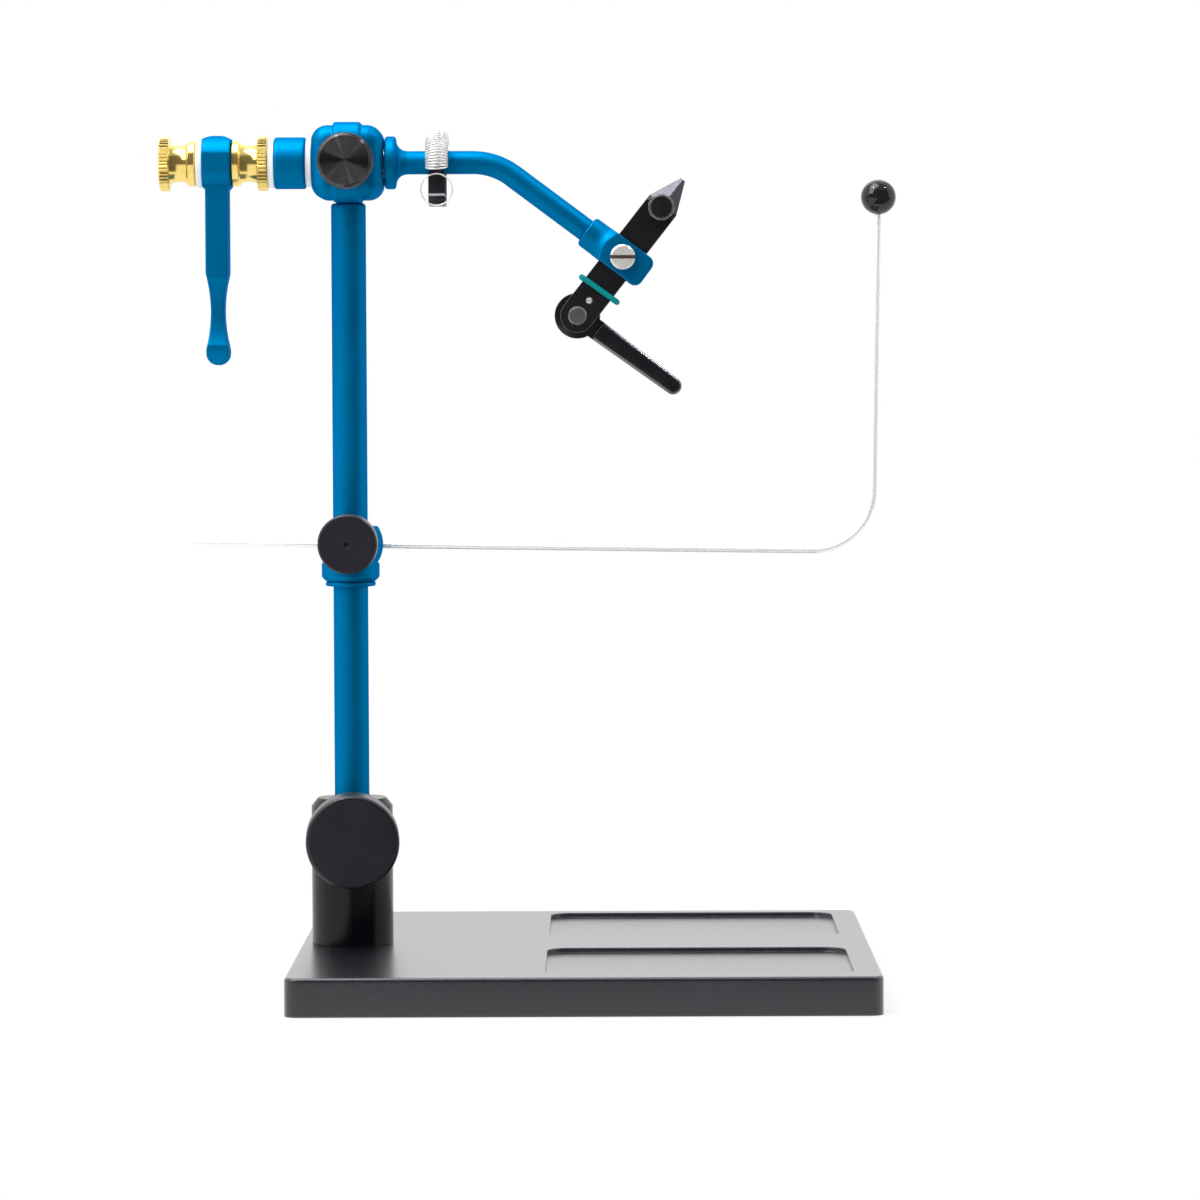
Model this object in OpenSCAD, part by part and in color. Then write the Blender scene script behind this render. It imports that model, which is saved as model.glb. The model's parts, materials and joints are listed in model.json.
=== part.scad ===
// Rotary fly tying vise on a pedestal base, with cam jaws, a hand crank and a bobbin cradle.
// Millimetres. The origin is the centre of the base's underside.
// +Z is up, +X runs along the base toward the jaws and +Y points to the rear.

/* [Base plate] */
// Width of the base plate, along X
base_w = 152.4; // [140:0.1:180]
// Depth of the base plate, along Y
base_d = 152.4; // [146:0.1:180]
// Thickness of the base plate
base_t = 10; // [8.5:0.1:14]
// Radius of the plate's upright corners
base_corner_r = 3.5; // [2.5:0.1:8]
// Radius of the plate's top edge
base_edge_r = 1; // [0.4:0.1:1.8]
// Width of each tray pocket, along X
pocket_w = 79.2; // [50:0.1:84]
// Size of each tray pocket along Y
pocket_d = 57; // [30:0.5:62]
// Depth of the pocket floor below the plate's top
pocket_depth = 1.3; // [0.5:0.1:3]
// Corner radius of the pockets
pocket_r = 6; // [2:0.5:12]
// Rim left between the pockets and the plate's front and rear edges
pocket_margin = 6.2; // [4:0.1:7]
// Rim left between the pockets and the plate's right edge
pocket_side = 7; // [4:0.1:9]

/* [Post] */
// Distance of the post's axis from the plate's left edge
post_inset = 13.7; // [12.5:0.1:17]
// Diameter of the post
post_d = 21.8; // [18:0.1:24]
// Height of the post above the plate
post_h = 39.4; // [36.5:0.1:55]
// Chamfer at the post's top, measured inward
post_chamfer_in = 1.7; // [0.5:0.1:3]
// Chamfer at the post's top, measured downward
post_chamfer_down = 2.2; // [0.5:0.1:4]
// Solid floor of the post under the stem
post_floor = 8; // [7:0.1:12]
// Diameter of the screw that holds the post to the plate
post_screw_d = 8; // [5:0.1:10]
// Diameter of that screw's countersunk head
post_screw_head_d = 15; // [12:0.1:17]
// Length of that screw's thread inside the post
post_screw_grip = 6; // [3:0.1:6.5]

/* [Base knob] */
// Diameter of the knob that clamps the stem in the post
base_knob_d = 24.7; // [18:0.1:32]
// Length of the knob
base_knob_len = 13.6; // [9:0.1:20]
// Radius of the knob's outer edges
base_knob_edge_r = 1; // [0.3:0.1:2.5]
// Height of the knob's axis above the plate
base_knob_h = 29.7; // [26:0.1:31]
// Turn of the knob about the stem from straight ahead toward the jaws, in degrees
base_knob_yaw = 3.2; // [-30:0.1:30]
// Gap between the post and the back of the knob, filled by the knob's hub
base_knob_standoff = 3; // [1:0.1:6]
// Diameter of the clamp screw
base_screw_d = 6.4; // [4:0.1:8]

/* [Stem] */
// Diameter of the stem
stem_d = 9.3; // [8.5:0.1:11]
// Length of the stem without its tenon
stem_len = 190.35; // [170:0.05:230]
// Chamfer at the stem's ends
stem_chamfer = 0.5; // [0.2:0.1:1]
// Diameter of the tenon that carries the head
tenon_d = 6; // [4:0.1:7.5]
// Length of the tenon
tenon_len = 4.6; // [2.5:0.1:5]

/* [Head] */
// Width of the head block, along the spindle
head_w = 19.1; // [17:0.1:26]
// Depth of the head block, front to back
head_d = 19.1; // [17:0.1:24]
// Height of the head block
head_h = 19.7; // [19.4:0.1:24]
// Radius of the block's edges
head_edge_r = 4.3; // [1.5:0.1:5]
// Width of the raised belt around the block
belt_w = 7.3; // [6:0.1:9]
// Height of the belt above the block
belt_proud = 0.85; // [0.4:0.05:1.5]
// Radius of the belt's edges
belt_edge_r = 0.6; // [0.2:0.1:1.2]
// Outer diameter of the spindle bushings
bush_d = 11; // [10:0.1:12]
// Space between the two bushings
bush_space = 6; // [5.6:0.1:8]

/* [Head knob] */
// Diameter of the drag knob on the head
head_knob_d = 14.9; // [11:0.1:18]
// Length of the drag knob
head_knob_len = 8.8; // [6:0.1:14]
// Number of knurl teeth on the drag knob
head_knob_teeth = 84; // [40:1:100]
// Depth of the knurl
knurl_depth = 0.3; // [0.1:0.05:0.5]
// Diameter of the drag screw
head_screw_d = 5; // [3:0.1:5.4]
// Length of the nylon plug between the drag screw and the spindle
plug_len = 2.4; // [1:0.1:3.5]

/* [Spindle] */
// Diameter of the spindle in its bushings
shaft_d = 8; // [7:0.1:9]
// Diameter of the threaded end of the spindle
thread_d = 6.4; // [5:0.1:6.8]
// Thickness of the nylon washer beside the head
head_washer_t = 1.5; // [0.8:0.1:3]
// Diameter of the nylon washer beside the head
head_washer_d = 12.6; // [10:0.1:14]
// Diameter of the drag collar
collar_d = 13.8; // [12:0.1:18]
// Length of the drag collar
collar_len = 8.5; // [6:0.1:12]
// Edge radius of the drag collar
collar_edge_r = 0.7; // [0.2:0.1:1.5]
// Diameter of the collar's set screw
set_screw_d = 3; // [2:0.1:4]
// Thickness of the nylon washer under the inner thumb nut
nut_washer_t = 1.55; // [0.8:0.05:3]
// Thickness of the nylon washer between the crank and the outer thumb nut
crank_washer_t = 1.6; // [0.8:0.1:3]
// Diameter of the two nylon washers on the thread
thread_washer_d = 13; // [10:0.1:14]

/* [Thumb nuts] */
// Length of a thumb nut
nut_len = 9.75; // [8:0.05:14]
// Diameter of the knurled disc
nut_disc_d = 14.6; // [12.5:0.1:18]
// Thickness of the knurled disc
nut_disc_t = 2.75; // [1.5:0.05:4]
// Diameter of the collar at the other end
nut_collar_d = 12.3; // [11.5:0.1:14]
// Length of that collar
nut_collar_len = 2.4; // [1:0.1:3]
// Diameter of the neck next to the disc
nut_neck_d = 10.8; // [10:0.1:11.4]
// Diameter of the neck's waist
nut_waist_d = 9.8; // [8.8:0.1:9.9]
// Number of knurl teeth on the disc
nut_teeth = 44; // [24:1:60]
// Depth of the disc's knurl
nut_knurl = 0.45; // [0.2:0.05:0.6]

/* [Crank] */
// Radius of the crank's eye
crank_eye_r = 7.4; // [6.5:0.1:10]
// Length of the eye along the spindle
crank_eye_len = 7.6; // [6.6:0.1:10]
// Distance of the eye's shoulders below its axis
crank_shoulder = 6.2; // [5.5:0.1:7]
// Distance of the eye's front and back flats from its axis
crank_flat = 6.9; // [6.2:0.1:7.2]
// Width of the crank's bar
crank_bar_w = 5.9; // [4.4:0.1:6.2]
// Depth of the crank's bar, front to back
crank_bar_d = 10; // [7:0.1:10.8]
// Width of the grip's waist
crank_waist_w = 3.55; // [2.6:0.05:4]
// Depth of the grip's waist
crank_waist_d = 6; // [4:0.1:6.6]
// Distance of the waist below the spindle
crank_waist_z = 39.5; // [33:0.1:39.8]
// Half the length of the waist's hollow, seen from the front
crank_waist_half = 10.2; // [7:0.1:10.6]
// Half the length of the waist's hollow, seen from the side
crank_side_waist_half = 9; // [6:0.1:9.2]
// Distance from the spindle to the crank's end
crank_reach = 53.8; // [53.8:0.1:64]

/* [Arm] */
// Diameter of the arm's flange
flange_d = 14.1; // [13.6:0.1:18]
// Thickness of the flange
flange_t = 3; // [2.4:0.1:5]
// Edge radius of the flange
flange_edge_r = 0.8; // [0.3:0.1:1.1]
// Radius of the cove between the flange and the arm
cove_r = 2.9; // [1.5:0.1:3.3]
// Diameter of the bent arm
arm_d = 6.2; // [5.4:0.1:6.8]
// Distance from the stem's axis to the corner of the arm's centre line
arm_corner = 39.2; // [38:0.1:50]
// Slope of the arm below the spindle, in degrees
arm_slope = 36.8; // [20:0.1:45]
// Radius of the arm's bend
arm_bend_r = 18; // [10:0.5:19]
// Distance along the slope from the corner to the clevis
arm_reach = 30.5; // [24:0.1:40]
// Diameter of the spigots at the arm's two ends
spigot_d = 4; // [3:0.1:4.4]
// Length of those spigots
spigot_len = 4; // [2:0.1:4.6]

/* [Clevis] */
// Length of the clevis
clevis_len = 19.95; // [19:0.05:26]
// Width of the clevis, seen from the front
clevis_w = 8.8; // [7.6:0.1:12]
// Radius of the two corners past the jaws
clevis_corner_r = 2.2; // [1:0.1:3]
// Radius of the two corners beside the arm
clevis_heel_r = 1.1; // [0.4:0.1:2]
// Distance from the clevis's arm end to the jaw pivot
pivot_at = 12; // [11.5:0.1:13]
// Thickness of each cheek
cheek_t = 1.85; // [1.2:0.05:3]
// Length of the round boss before it flares into the cheeks
boss_len = 3.2; // [2:0.1:3.6]
// Radius of that flare
flare_r = 4; // [3:0.1:6]
// Distance from the jaw pivot to the bottom of the jaw slot
slot_reach = 5.7; // [5.5:0.1:6]
// Diameter of the pivot screw
pivot_d = 4; // [3:0.1:5]
// Diameter of the pivot screw's head
pivot_head_d = 6.7; // [5.6:0.1:8]
// Height of the pivot screw's head
pivot_head_t = 1.8; // [1:0.1:3]
// Width of the driver slot in the pivot screw
pivot_slot_w = 1; // [0.6:0.1:1.4]

/* [Jaws] */
// Direction of the jaws, in degrees above the horizontal
jaw_angle = 51.95; // [48:0.05:58]
// Width of the jaws, seen from the front
jaw_w = 9.05; // [7.6:0.05:9.2]
// Thickness of each jaw plate
jaw_t = 3.2; // [2.8:0.1:4]
// Gap between the two plates behind their tips
jaw_gap = 0.7; // [0.62:0.02:1]
// Gap between the ground tips when the jaws are closed
tip_gap = 0.04; // [0.02:0.01:0.2]
// Length of the ground faces at the tips
tip_land = 5; // [3:0.1:6]
// Distance from the cam pin to the jaw pivot
jaw_pivot_u = 19.7; // [18.5:0.1:22]
// Distance from the cam pin to the adjusting screw
fulcrum_u = 36.4; // [34:0.1:38]
// Distance from the cam pin to the tips
tip_u = 45.9; // [45:0.1:50]
// Width of the tips
tip_w = 1.5; // [0.8:0.1:2.5]
// Angle between the two sides of the tips
tip_angle = 47; // [42:0.5:56]
// Distance along the jaws of the ground ridge, measured back from the tips
ridge_len = 6; // [4.5:0.1:7]
// Thickness of each jaw at the tips
tip_t = 0.9; // [0.5:0.05:1.5]
// Sideways fall of the ground facets, in degrees
facet_fall = 21.7; // [15:0.1:24]
// Diameter of the cam pin
pin_d = 4.8; // [3.5:0.1:5.2]
// How far the cam pin stands out of the plates
pin_proud = 0.25; // [0.1:0.05:0.8]
// Depth of the lever's pocket in each plate
cam_pocket = 1.2; // [1.1:0.05:1.3]
// Length of that pocket, from the cam pin
cam_pocket_u = 6.7; // [6.5:0.1:7.6]
// Distance from the cam pin to the cam follower
follower_u = 5.1; // [4.6:0.1:5.2]
// Diameter of the cam follower and of the stop pin
follower_d = 1.7; // [1.2:0.1:2]
// Swing of the rear jaw as the lever opens it, in degrees
jaw_swing = 1; // [0.6:0.05:1]
// Diameter of the adjusting screw's knurled head
adjust_head_d = 7.1; // [5.5:0.1:8.5]
// Height of that head
adjust_head_t = 5; // [3:0.1:8]
// Diameter of the adjusting screw
adjust_d = 3.2; // [2.4:0.1:3.6]
// Number of knurl teeth on the adjusting screw
adjust_teeth = 44; // [24:1:52]
// Distance from the cam pin to the rubber ring round the jaws
ring_u = 9.1; // [8.4:0.1:11]
// Room between the rubber ring and the jaws' narrow sides
ring_slack = 0.5; // [0.4:0.05:0.8]
// How far the rubber ring sits off the jaws' middle, across them
ring_off = -0.35; // [-0.35:0.05:0.35]
// Slant of the rubber ring, in degrees
ring_slant = 2.5; // [-4:0.1:4]
// Thickness of the rubber ring
ring_cord = 1.5; // [1:0.1:1.8]

/* [Cam lever] */
// Angle between the closed lever and the jaws, in degrees
lever_angle = 88.4; // [80:0.1:95]
// Distance from the cam pin to the lever's end
lever_len = 34; // [26:0.1:44]
// Radius of the lever's cam disc
disc_r = 6.1; // [5.9:0.05:6.3]
// Width of the lever beside the disc
lever_root_w = 5.8; // [4.5:0.1:7]
// Width of the lever at its end
lever_end_w = 4.6; // [3.4:0.1:6]
// Thickness of the lever's handle
lever_t = 4.6; // [3:0.1:6]
// Mean thickness of the cam disc
disc_t = 1.7; // [1.5:0.02:1.76]

/* [Material clip] */
// Distance from the stem's axis to the middle of the clip
clip_at = 23.85; // [22.5:0.05:27]
// Outer diameter of the clip's spring
clip_coil_d = 6.2; // [5.4:0.1:6.6]
// Diameter of the spring wire
clip_wire_d = 0.45; // [0.35:0.01:0.5]
// Number of curls
clip_curls = 14; // [8:1:15]
// Part of a circle that the spring covers, in degrees
clip_span = 210; // [180:1:220]
// Width of the strap
strap_w = 4.5; // [4:0.1:6]
// Thickness of the strap
strap_t = 1; // [0.6:0.1:1.3]
// Width of the strap's tongues inside the spring
tongue_w = 3.6; // [2:0.1:3.8]
// Distance of the strap's lowest point below the spindle
strap_drop = 11.6; // [10.5:0.1:16]
// Distance of the strap's shoulders below the spindle
strap_top = 2.3; // [2.2:0.1:3.5]
// Radius of the wire loop in front of the strap
loop_r = 4.2; // [3:0.1:5]
// Diameter of the loop's wire
loop_wire_d = 0.4; // [0.3:0.05:0.6]

/* [Cradle] */
// Height of the cradle ball's centre above the plate
cradle_h = 107.4; // [80:0.1:120]
// Radius of the cradle ball
cradle_r = 8.75; // [8.4:0.05:11]
// Half the height of the cut ball
cradle_half_h = 4.8; // [4:0.1:5.5]
// Radius of the flange under the ball
cradle_flange_r = 7.75; // [7.4:0.05:9]
// Height of the flange, without its chamfer
cradle_flange_h = 3.9; // [2:0.1:6]
// Height of the chamfer below the flange
cradle_chamfer = 1.1; // [0.5:0.1:2]
// Radius of the thrust ring
thrust_r = 6.7; // [6.2:0.1:7]
// Thickness of the thrust ring
thrust_t = 1.3; // [1.3:0.1:2.5]
// Edge radius of the thrust ring
thrust_edge_r = 0.55; // [0.1:0.05:0.6]
// Diameter of the cradle knob
cradle_knob_d = 15.8; // [12:0.1:20]
// Length of the cradle knob
cradle_knob_len = 8; // [5:0.1:12]
// Height of the knob's axis above the ball's centre
cradle_knob_up = 0.5; // [0:0.1:1]
// Diameter of the cradle's clamp screw
cradle_screw_d = 4; // [3:0.1:5]

/* [Bobbin rod] */
// Diameter of the bobbin rod
rod_d = 1.6; // [1.2:0.1:2.2]
// Distance of the rod below the cradle ball's centre
rod_below = 0.5; // [-1:0.1:1]
// How far the rod stands out to the left of the stem's axis
rod_left = 42.5; // [15:0.5:80]
// Distance from the stem's axis to the upright end of the rod
rod_right = 140.5; // [126:0.5:180]
// Radius of the rod's bend
rod_bend_r = 16.4; // [6:0.1:30]
// Height of the rod ball's centre above the straight part
rod_up = 95.2; // [50:0.1:120]
// Droop of the rod in its hole, in degrees
rod_droop = 0.9; // [0:0.1:1.5]
// Diameter of the ball on the rod
ball_d = 9.4; // [6:0.1:16]

/* [Clearances] */
// Radial clearance of turning and pressed fits
fit = 0.04; // [0.02:0.01:0.08]
// Gap between flat faces that turn on each other
run_gap = 0.1; // [0.05:0.01:0.2]
// Gap between pieces that never touch
free_gap = 0.3; // [0.2:0.05:0.5]
// Radial clearance of the rear jaw's holes
swing_gap = 0.2; // [0.15:0.01:0.3]

/* [Hidden] */
$fn = 64;
blue = [0.02, 0.43, 0.68];
black = [0.13, 0.13, 0.14];
steel = [0.74, 0.74, 0.76];
brass = [0.86, 0.68, 0.27];
nylon = [0.93, 0.93, 0.91];
bronze = [0.62, 0.46, 0.26];
teal = [0.05, 0.68, 0.66];
eps = 0.05;

// Places along the stem
stem_x = -base_w / 2 + post_inset;
stem_r = stem_d / 2;
stem_z = base_t + post_floor + run_gap;
stem_top = stem_z + stem_len;
spindle_z = stem_top + run_gap + belt_proud + head_h / 2;
base_knob_z = base_t + base_knob_h;
cradle_z = base_t + cradle_h;
cradle_knob_z = cradle_z + cradle_knob_up;

// Places along the spindle, measured from the stem's axis
shaft_r = shaft_d / 2;
thread_r = thread_d / 2;
head_left = -head_w / 2;
head_washer_x = head_left - run_gap - head_washer_t;
collar_x = head_washer_x - collar_len;
nut_washer_x = collar_x - nut_washer_t;
inner_nut_x = nut_washer_x - run_gap - nut_len;
crank_x = inner_nut_x - run_gap - crank_eye_len;
crank_washer_x = crank_x - crank_washer_t;
outer_nut_x = crank_washer_x - run_gap - nut_len;
flange_x = head_w / 2 + free_gap;
arm_r = arm_d / 2;
bend_tangent = arm_bend_r * tan(arm_slope / 2);
plug_y = shaft_r + run_gap;

// Places on the jaws, in their own frame: x toward the tips, y to the rear, z across
jaw_face = jaw_gap / 2 + jaw_t;
cam_face = jaw_gap / 2 + cam_pocket;
clevis_half = jaw_face + run_gap + cheek_t;
boss_r = clevis_w / 2;
taper_u = tip_u - (jaw_w - tip_w) / 2 / tan(tip_angle / 2);
ridge_fall = atan((jaw_face - tip_t) / ridge_len);
pivot_x = stem_x + arm_corner + (arm_reach + pivot_at) * cos(arm_slope);
pivot_z = spindle_z - (arm_reach + pivot_at) * sin(arm_slope);

// The cam face is a plane tilted across the disc, so a quarter turn of the lever lets the follower fall
cam_fall = (fulcrum_u - follower_u) * tan(jaw_swing);
cam_tilt = atan(cam_fall / (2 * cos(45) * follower_u));
disc_front = -cam_face + run_gap;
disc_mid = disc_front + disc_t;
follower_tip = disc_mid + cam_fall / 2 + fit;
rear_cam_face = cam_face + run_gap;

// Places on the clip and the cradle
coil_r = (clip_coil_d - clip_wire_d) / 2;
coil_path_r = arm_r + free_gap + clip_coil_d / 2;
strap_mid = coil_path_r - strap_t / 4;
strap_outer = strap_mid + strap_t / 2;
rod_r = rod_d / 2;
rod_y = (stem_r + fit + cradle_r) / 2;
flange_bottom = -cradle_half_h - cradle_flange_h;
collar_bottom = flange_bottom - cradle_chamfer;
thrust_z = cradle_z + collar_bottom - run_gap - thrust_t;

// Rectangle with rounded corners, centred
module round_rect(w, h, r) {
    square([w - 2 * r, h], center = true);
    square([w, h - 2 * r], center = true);
    for (x = [-1, 1], y = [-1, 1])
        translate([x * (w / 2 - r), y * (h / 2 - r)])
            circle(r);
}

// Drum standing on Z = 0 with both outer edges rounded
module drum(r, h, e) {
    rotate_extrude()
        union() {
            square([r - e, h]);
            translate([0, e])
                square([r, h - 2 * e]);
            for (z = [e, h - e])
                translate([r - e, z])
                    circle(e);
        }
}

// Turned pin standing on Z = 0 with both ends chamfered
module pin(r, h, c) {
    rotate_extrude()
        polygon([[0, 0], [r - c, 0], [r, c], [r, h - c], [r - c, h], [0, h]]);
}

// Straight knurl standing on Z = 0
module knurled(r, h, teeth, depth) {
    linear_extrude(h)
        polygon([
            for (i = [0 : 2 * teeth - 1])
                let (a = 180 * i / teeth, q = i % 2 == 0 ? r : r - depth)
                    [q * cos(a), q * sin(a)]
        ]);
}

// Drum standing on Z = 0 with a knurled rim between two plain bevels
module knurled_drum(r, h, teeth, depth, bevel) {
    pin(r - depth - eps / 2, h, bevel);
    translate([0, 0, bevel])
        knurled(r, h - 2 * bevel, teeth, depth);
}

// Slab from y0 to y1, drawn from a shape in the XZ plane
module slab_y(y0, y1) {
    translate([0, y1, 0])
        rotate([90, 0, 0])
            linear_extrude(y1 - y0)
                children();
}

// Slab from x0 to x1, drawn from a shape in the YZ plane
module slab_x(x0, x1) {
    translate([x0, 0, 0])
        rotate([90, 0, 90])
            linear_extrude(x1 - x0)
                children();
}

// Puts a shape that stands on Z = 0 on the spindle, pointing along +X
module on_spindle(x) {
    translate([stem_x + x, 0, spindle_z])
        rotate([0, 90, 0])
            children();
}

// Puts a shape that stands on Z = 0 at depth y in front of the stem's axis, pointing to the front
module to_front(z, y, yaw = 0) {
    translate([stem_x, 0, z])
        rotate([0, 0, yaw])
            translate([0, -y, 0])
                rotate([90, 0, 0])
                    children();
}

// Frame at the corner of the arm, with x down the slope
module on_slope() {
    translate([stem_x + arm_corner, 0, spindle_z])
        rotate([0, arm_slope, 0])
            children();
}

// Frame of the jaws: the cam pin at the origin, x toward the tips
module on_jaws() {
    translate([pivot_x, 0, pivot_z])
        rotate([0, -jaw_angle, 0])
            translate([-jaw_pivot_u, 0, 0])
                children();
}

// Frame of the bobbin rod, with its droop
module on_rod() {
    translate([stem_x, rod_y, cradle_z - rod_below])
        rotate([0, rod_droop, 0])
            children();
}

// Hole along Y through the jaws at distance u
module jaw_hole(u, r) {
    translate([u, 0, 0])
        rotate([90, 0, 0])
            cylinder(r = r, h = 4 * jaw_face, center = true);
}

// Plate with rounded corners and a rounded top edge
module plate(w, d, t, corner, edge) {
    linear_extrude(t - edge)
        round_rect(w, d, corner);
    linear_extrude(t)
        round_rect(w - 2 * edge, d - 2 * edge, corner - edge);
    for (s = [-1, 1]) {
        translate([0, s * (d / 2 - edge), t - edge])
            rotate([0, 90, 0])
                cylinder(r = edge, h = w - 2 * corner, center = true);
        translate([s * (w / 2 - edge), 0, t - edge])
            rotate([90, 0, 0])
                cylinder(r = edge, h = d - 2 * corner, center = true);
        for (q = [-1, 1])
            translate([s * (w / 2 - corner), q * (d / 2 - corner), t - edge])
                rotate_extrude()
                    translate([corner - edge, 0])
                        intersection() {
                            circle(edge);
                            translate([0, -edge])
                                square(2 * edge);
                        }
    }
}

// Base

module base_plate() {
    pocket_x = base_w / 2 - pocket_side - pocket_w / 2;
    pocket_y = base_d / 2 - pocket_margin - pocket_d / 2;
    color(black)
        difference() {
            plate(base_w, base_d, base_t, base_corner_r, base_edge_r);
            for (s = [-1, 1])
                translate([pocket_x, s * pocket_y, base_t - pocket_depth])
                    linear_extrude(2 * pocket_depth)
                        round_rect(pocket_w, pocket_d, pocket_r);
            translate([stem_x, 0, 0])
                post_screw_shape(fit);
        }
}

// Countersunk screw from the plate's underside, grown by a clearance
module post_screw_shape(grow) {
    r = post_screw_d / 2;
    head_r = post_screw_head_d / 2;
    recess = grow > 0 ? -1 : free_gap;
    rotate_extrude()
        polygon([
            [0, recess],
            [head_r + grow, recess],
            [head_r + grow, free_gap + 0.5],
            [r + grow, free_gap + 0.5 + head_r - r],
            [r + grow, base_t + post_screw_grip + grow],
            [0, base_t + post_screw_grip + grow]
        ]);
}

module post_screw() {
    key_r = post_screw_d * 0.32;
    color(steel)
        translate([stem_x, 0, 0])
            difference() {
                post_screw_shape(0);
                translate([0, 0, -eps])
                    cylinder(r = key_r, h = 3, $fn = 6);
            }
}

module base_post() {
    r = post_d / 2;
    color(black)
        difference() {
            translate([stem_x, 0, base_t])
                rotate_extrude()
                    polygon([
                        [0, 0],
                        [r, 0],
                        [r, post_h - post_chamfer_down],
                        [r - post_chamfer_in, post_h],
                        [0, post_h]
                    ]);
            translate([stem_x, 0, base_t + post_floor])
                cylinder(r = stem_r + fit, h = post_h);
            translate([stem_x, 0, 0])
                post_screw_shape(fit);
            to_front(base_knob_z, 0, base_knob_yaw)
                cylinder(r = base_screw_d / 2 + fit, h = post_d);
        }
}

module base_knob() {
    back = post_d / 2 + base_knob_standoff;
    hub_r = base_screw_d;
    color(black)
        to_front(base_knob_z, back, base_knob_yaw)
            difference() {
                union() {
                    drum(base_knob_d / 2, base_knob_len, base_knob_edge_r);
                    translate([0, 0, free_gap - base_knob_standoff])
                        cylinder(r = hub_r, h = base_knob_standoff);
                }
                translate([0, 0, -base_knob_standoff])
                    cylinder(r = base_screw_d / 2 + fit, h = base_knob_standoff + base_knob_len * 0.6);
            }
}

module base_knob_screw() {
    tip = stem_r + fit;
    seat = post_d / 2 + base_knob_standoff + base_knob_len * 0.6;
    color(steel)
        to_front(base_knob_z, tip, base_knob_yaw)
            pin(base_screw_d / 2, seat - tip - run_gap, 0.5);
}

// Stem and head

module stem() {
    color(blue)
        translate([stem_x, 0, stem_z]) {
            pin(stem_r, stem_len, stem_chamfer);
            translate([0, 0, stem_len - eps])
                cylinder(r = tenon_d / 2, h = tenon_len + eps);
        }
}

module head_shell() {
    intersection() {
        slab_y(-head_d / 2, head_d / 2)
            round_rect(head_w, head_h, head_edge_r);
        slab_x(-head_w / 2, head_w / 2)
            round_rect(head_d, head_h, head_edge_r);
        translate([0, 0, -head_h / 2])
            linear_extrude(head_h)
                round_rect(head_w, head_d, head_edge_r);
    }
}

module head_belt() {
    d = head_d + 2 * belt_proud;
    h = head_h + 2 * belt_proud;
    intersection() {
        slab_x(-belt_w / 2, belt_w / 2)
            round_rect(d, h, head_edge_r + belt_proud);
        slab_y(-d / 2, d / 2)
            round_rect(belt_w, h, belt_edge_r);
        translate([0, 0, -h / 2])
            linear_extrude(h)
                round_rect(belt_w, d, belt_edge_r);
    }
}

module head_block() {
    color(blue)
        difference() {
            translate([stem_x, 0, spindle_z]) {
                head_shell();
                head_belt();
            }
            on_spindle(-head_w)
                cylinder(r = bush_d / 2 + fit, h = 2 * head_w);
            to_front(spindle_z, 0)
                cylinder(r = head_screw_d / 2 + fit, h = head_d);
            translate([stem_x, 0, stem_top - 1])
                cylinder(r = tenon_d / 2 + fit, h = tenon_len + 1 + run_gap);
        }
}

module bushing(x) {
    len = (head_w - bush_space) / 2;
    color(bronze)
        on_spindle(x)
            difference() {
                cylinder(r = bush_d / 2, h = len);
                translate([0, 0, -1])
                    cylinder(r = shaft_r + fit, h = len + 2);
            }
}

module left_bushing() {
    bushing(head_left);
}

module right_bushing() {
    bushing(bush_space / 2);
}

module drag_plug() {
    color(nylon)
        to_front(spindle_z, plug_y)
            cylinder(r = head_screw_d / 2, h = plug_len);
}

module head_knob() {
    back = head_d / 2 + belt_proud + free_gap;
    r = head_knob_d / 2;
    color(black)
        to_front(spindle_z, back)
            difference() {
                knurled_drum(r, head_knob_len, head_knob_teeth, knurl_depth, 2 * knurl_depth);
                translate([0, 0, -1])
                    cylinder(r = head_screw_d / 2 + fit, h = 1 + head_knob_len * 0.6);
            }
}

module head_knob_screw() {
    tip = plug_y + plug_len + fit;
    seat = head_d / 2 + belt_proud + free_gap + head_knob_len * 0.6;
    color(steel)
        to_front(spindle_z, tip)
            pin(head_screw_d / 2, seat - tip - run_gap, 0.4);
}

// Spindle

module spindle_shaft() {
    shoulder = flange_x - collar_x;
    thread = collar_x - outer_nut_x - 1;
    color(steel)
        on_spindle(collar_x)
            rotate_extrude()
                polygon([
                    [0, -thread],
                    [thread_r - 0.6, -thread],
                    [thread_r, -thread + 0.6],
                    [thread_r, 0],
                    [shaft_r, 0],
                    [shaft_r, shoulder],
                    [spigot_d / 2, shoulder],
                    [spigot_d / 2, shoulder + spigot_len],
                    [0, shoulder + spigot_len]
                ]);
}

module washer(x, d, t, bore_r) {
    color(nylon)
        on_spindle(x)
            difference() {
                cylinder(r = d / 2, h = t);
                translate([0, 0, -1])
                    cylinder(r = bore_r + fit, h = t + 2);
            }
}

module head_washer() {
    washer(head_washer_x, head_washer_d, head_washer_t, shaft_r);
}

module nut_washer() {
    washer(nut_washer_x, thread_washer_d, nut_washer_t, thread_r);
}

module crank_washer() {
    washer(crank_washer_x, thread_washer_d, crank_washer_t, thread_r);
}

// Set screw hole in the rear of the drag collar
module set_screw_place(r, y0, y1) {
    translate([stem_x + collar_x + collar_len / 2, y1, spindle_z])
        rotate([90, 0, 0])
            cylinder(r = r, h = y1 - y0);
}

module drag_collar() {
    color(blue)
        difference() {
            on_spindle(collar_x)
                drum(collar_d / 2, collar_len, collar_edge_r);
            on_spindle(collar_x - 1)
                cylinder(r = shaft_r + fit, h = collar_len + 2);
            set_screw_place(set_screw_d / 2 + fit, 0, collar_d);
        }
}

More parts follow.
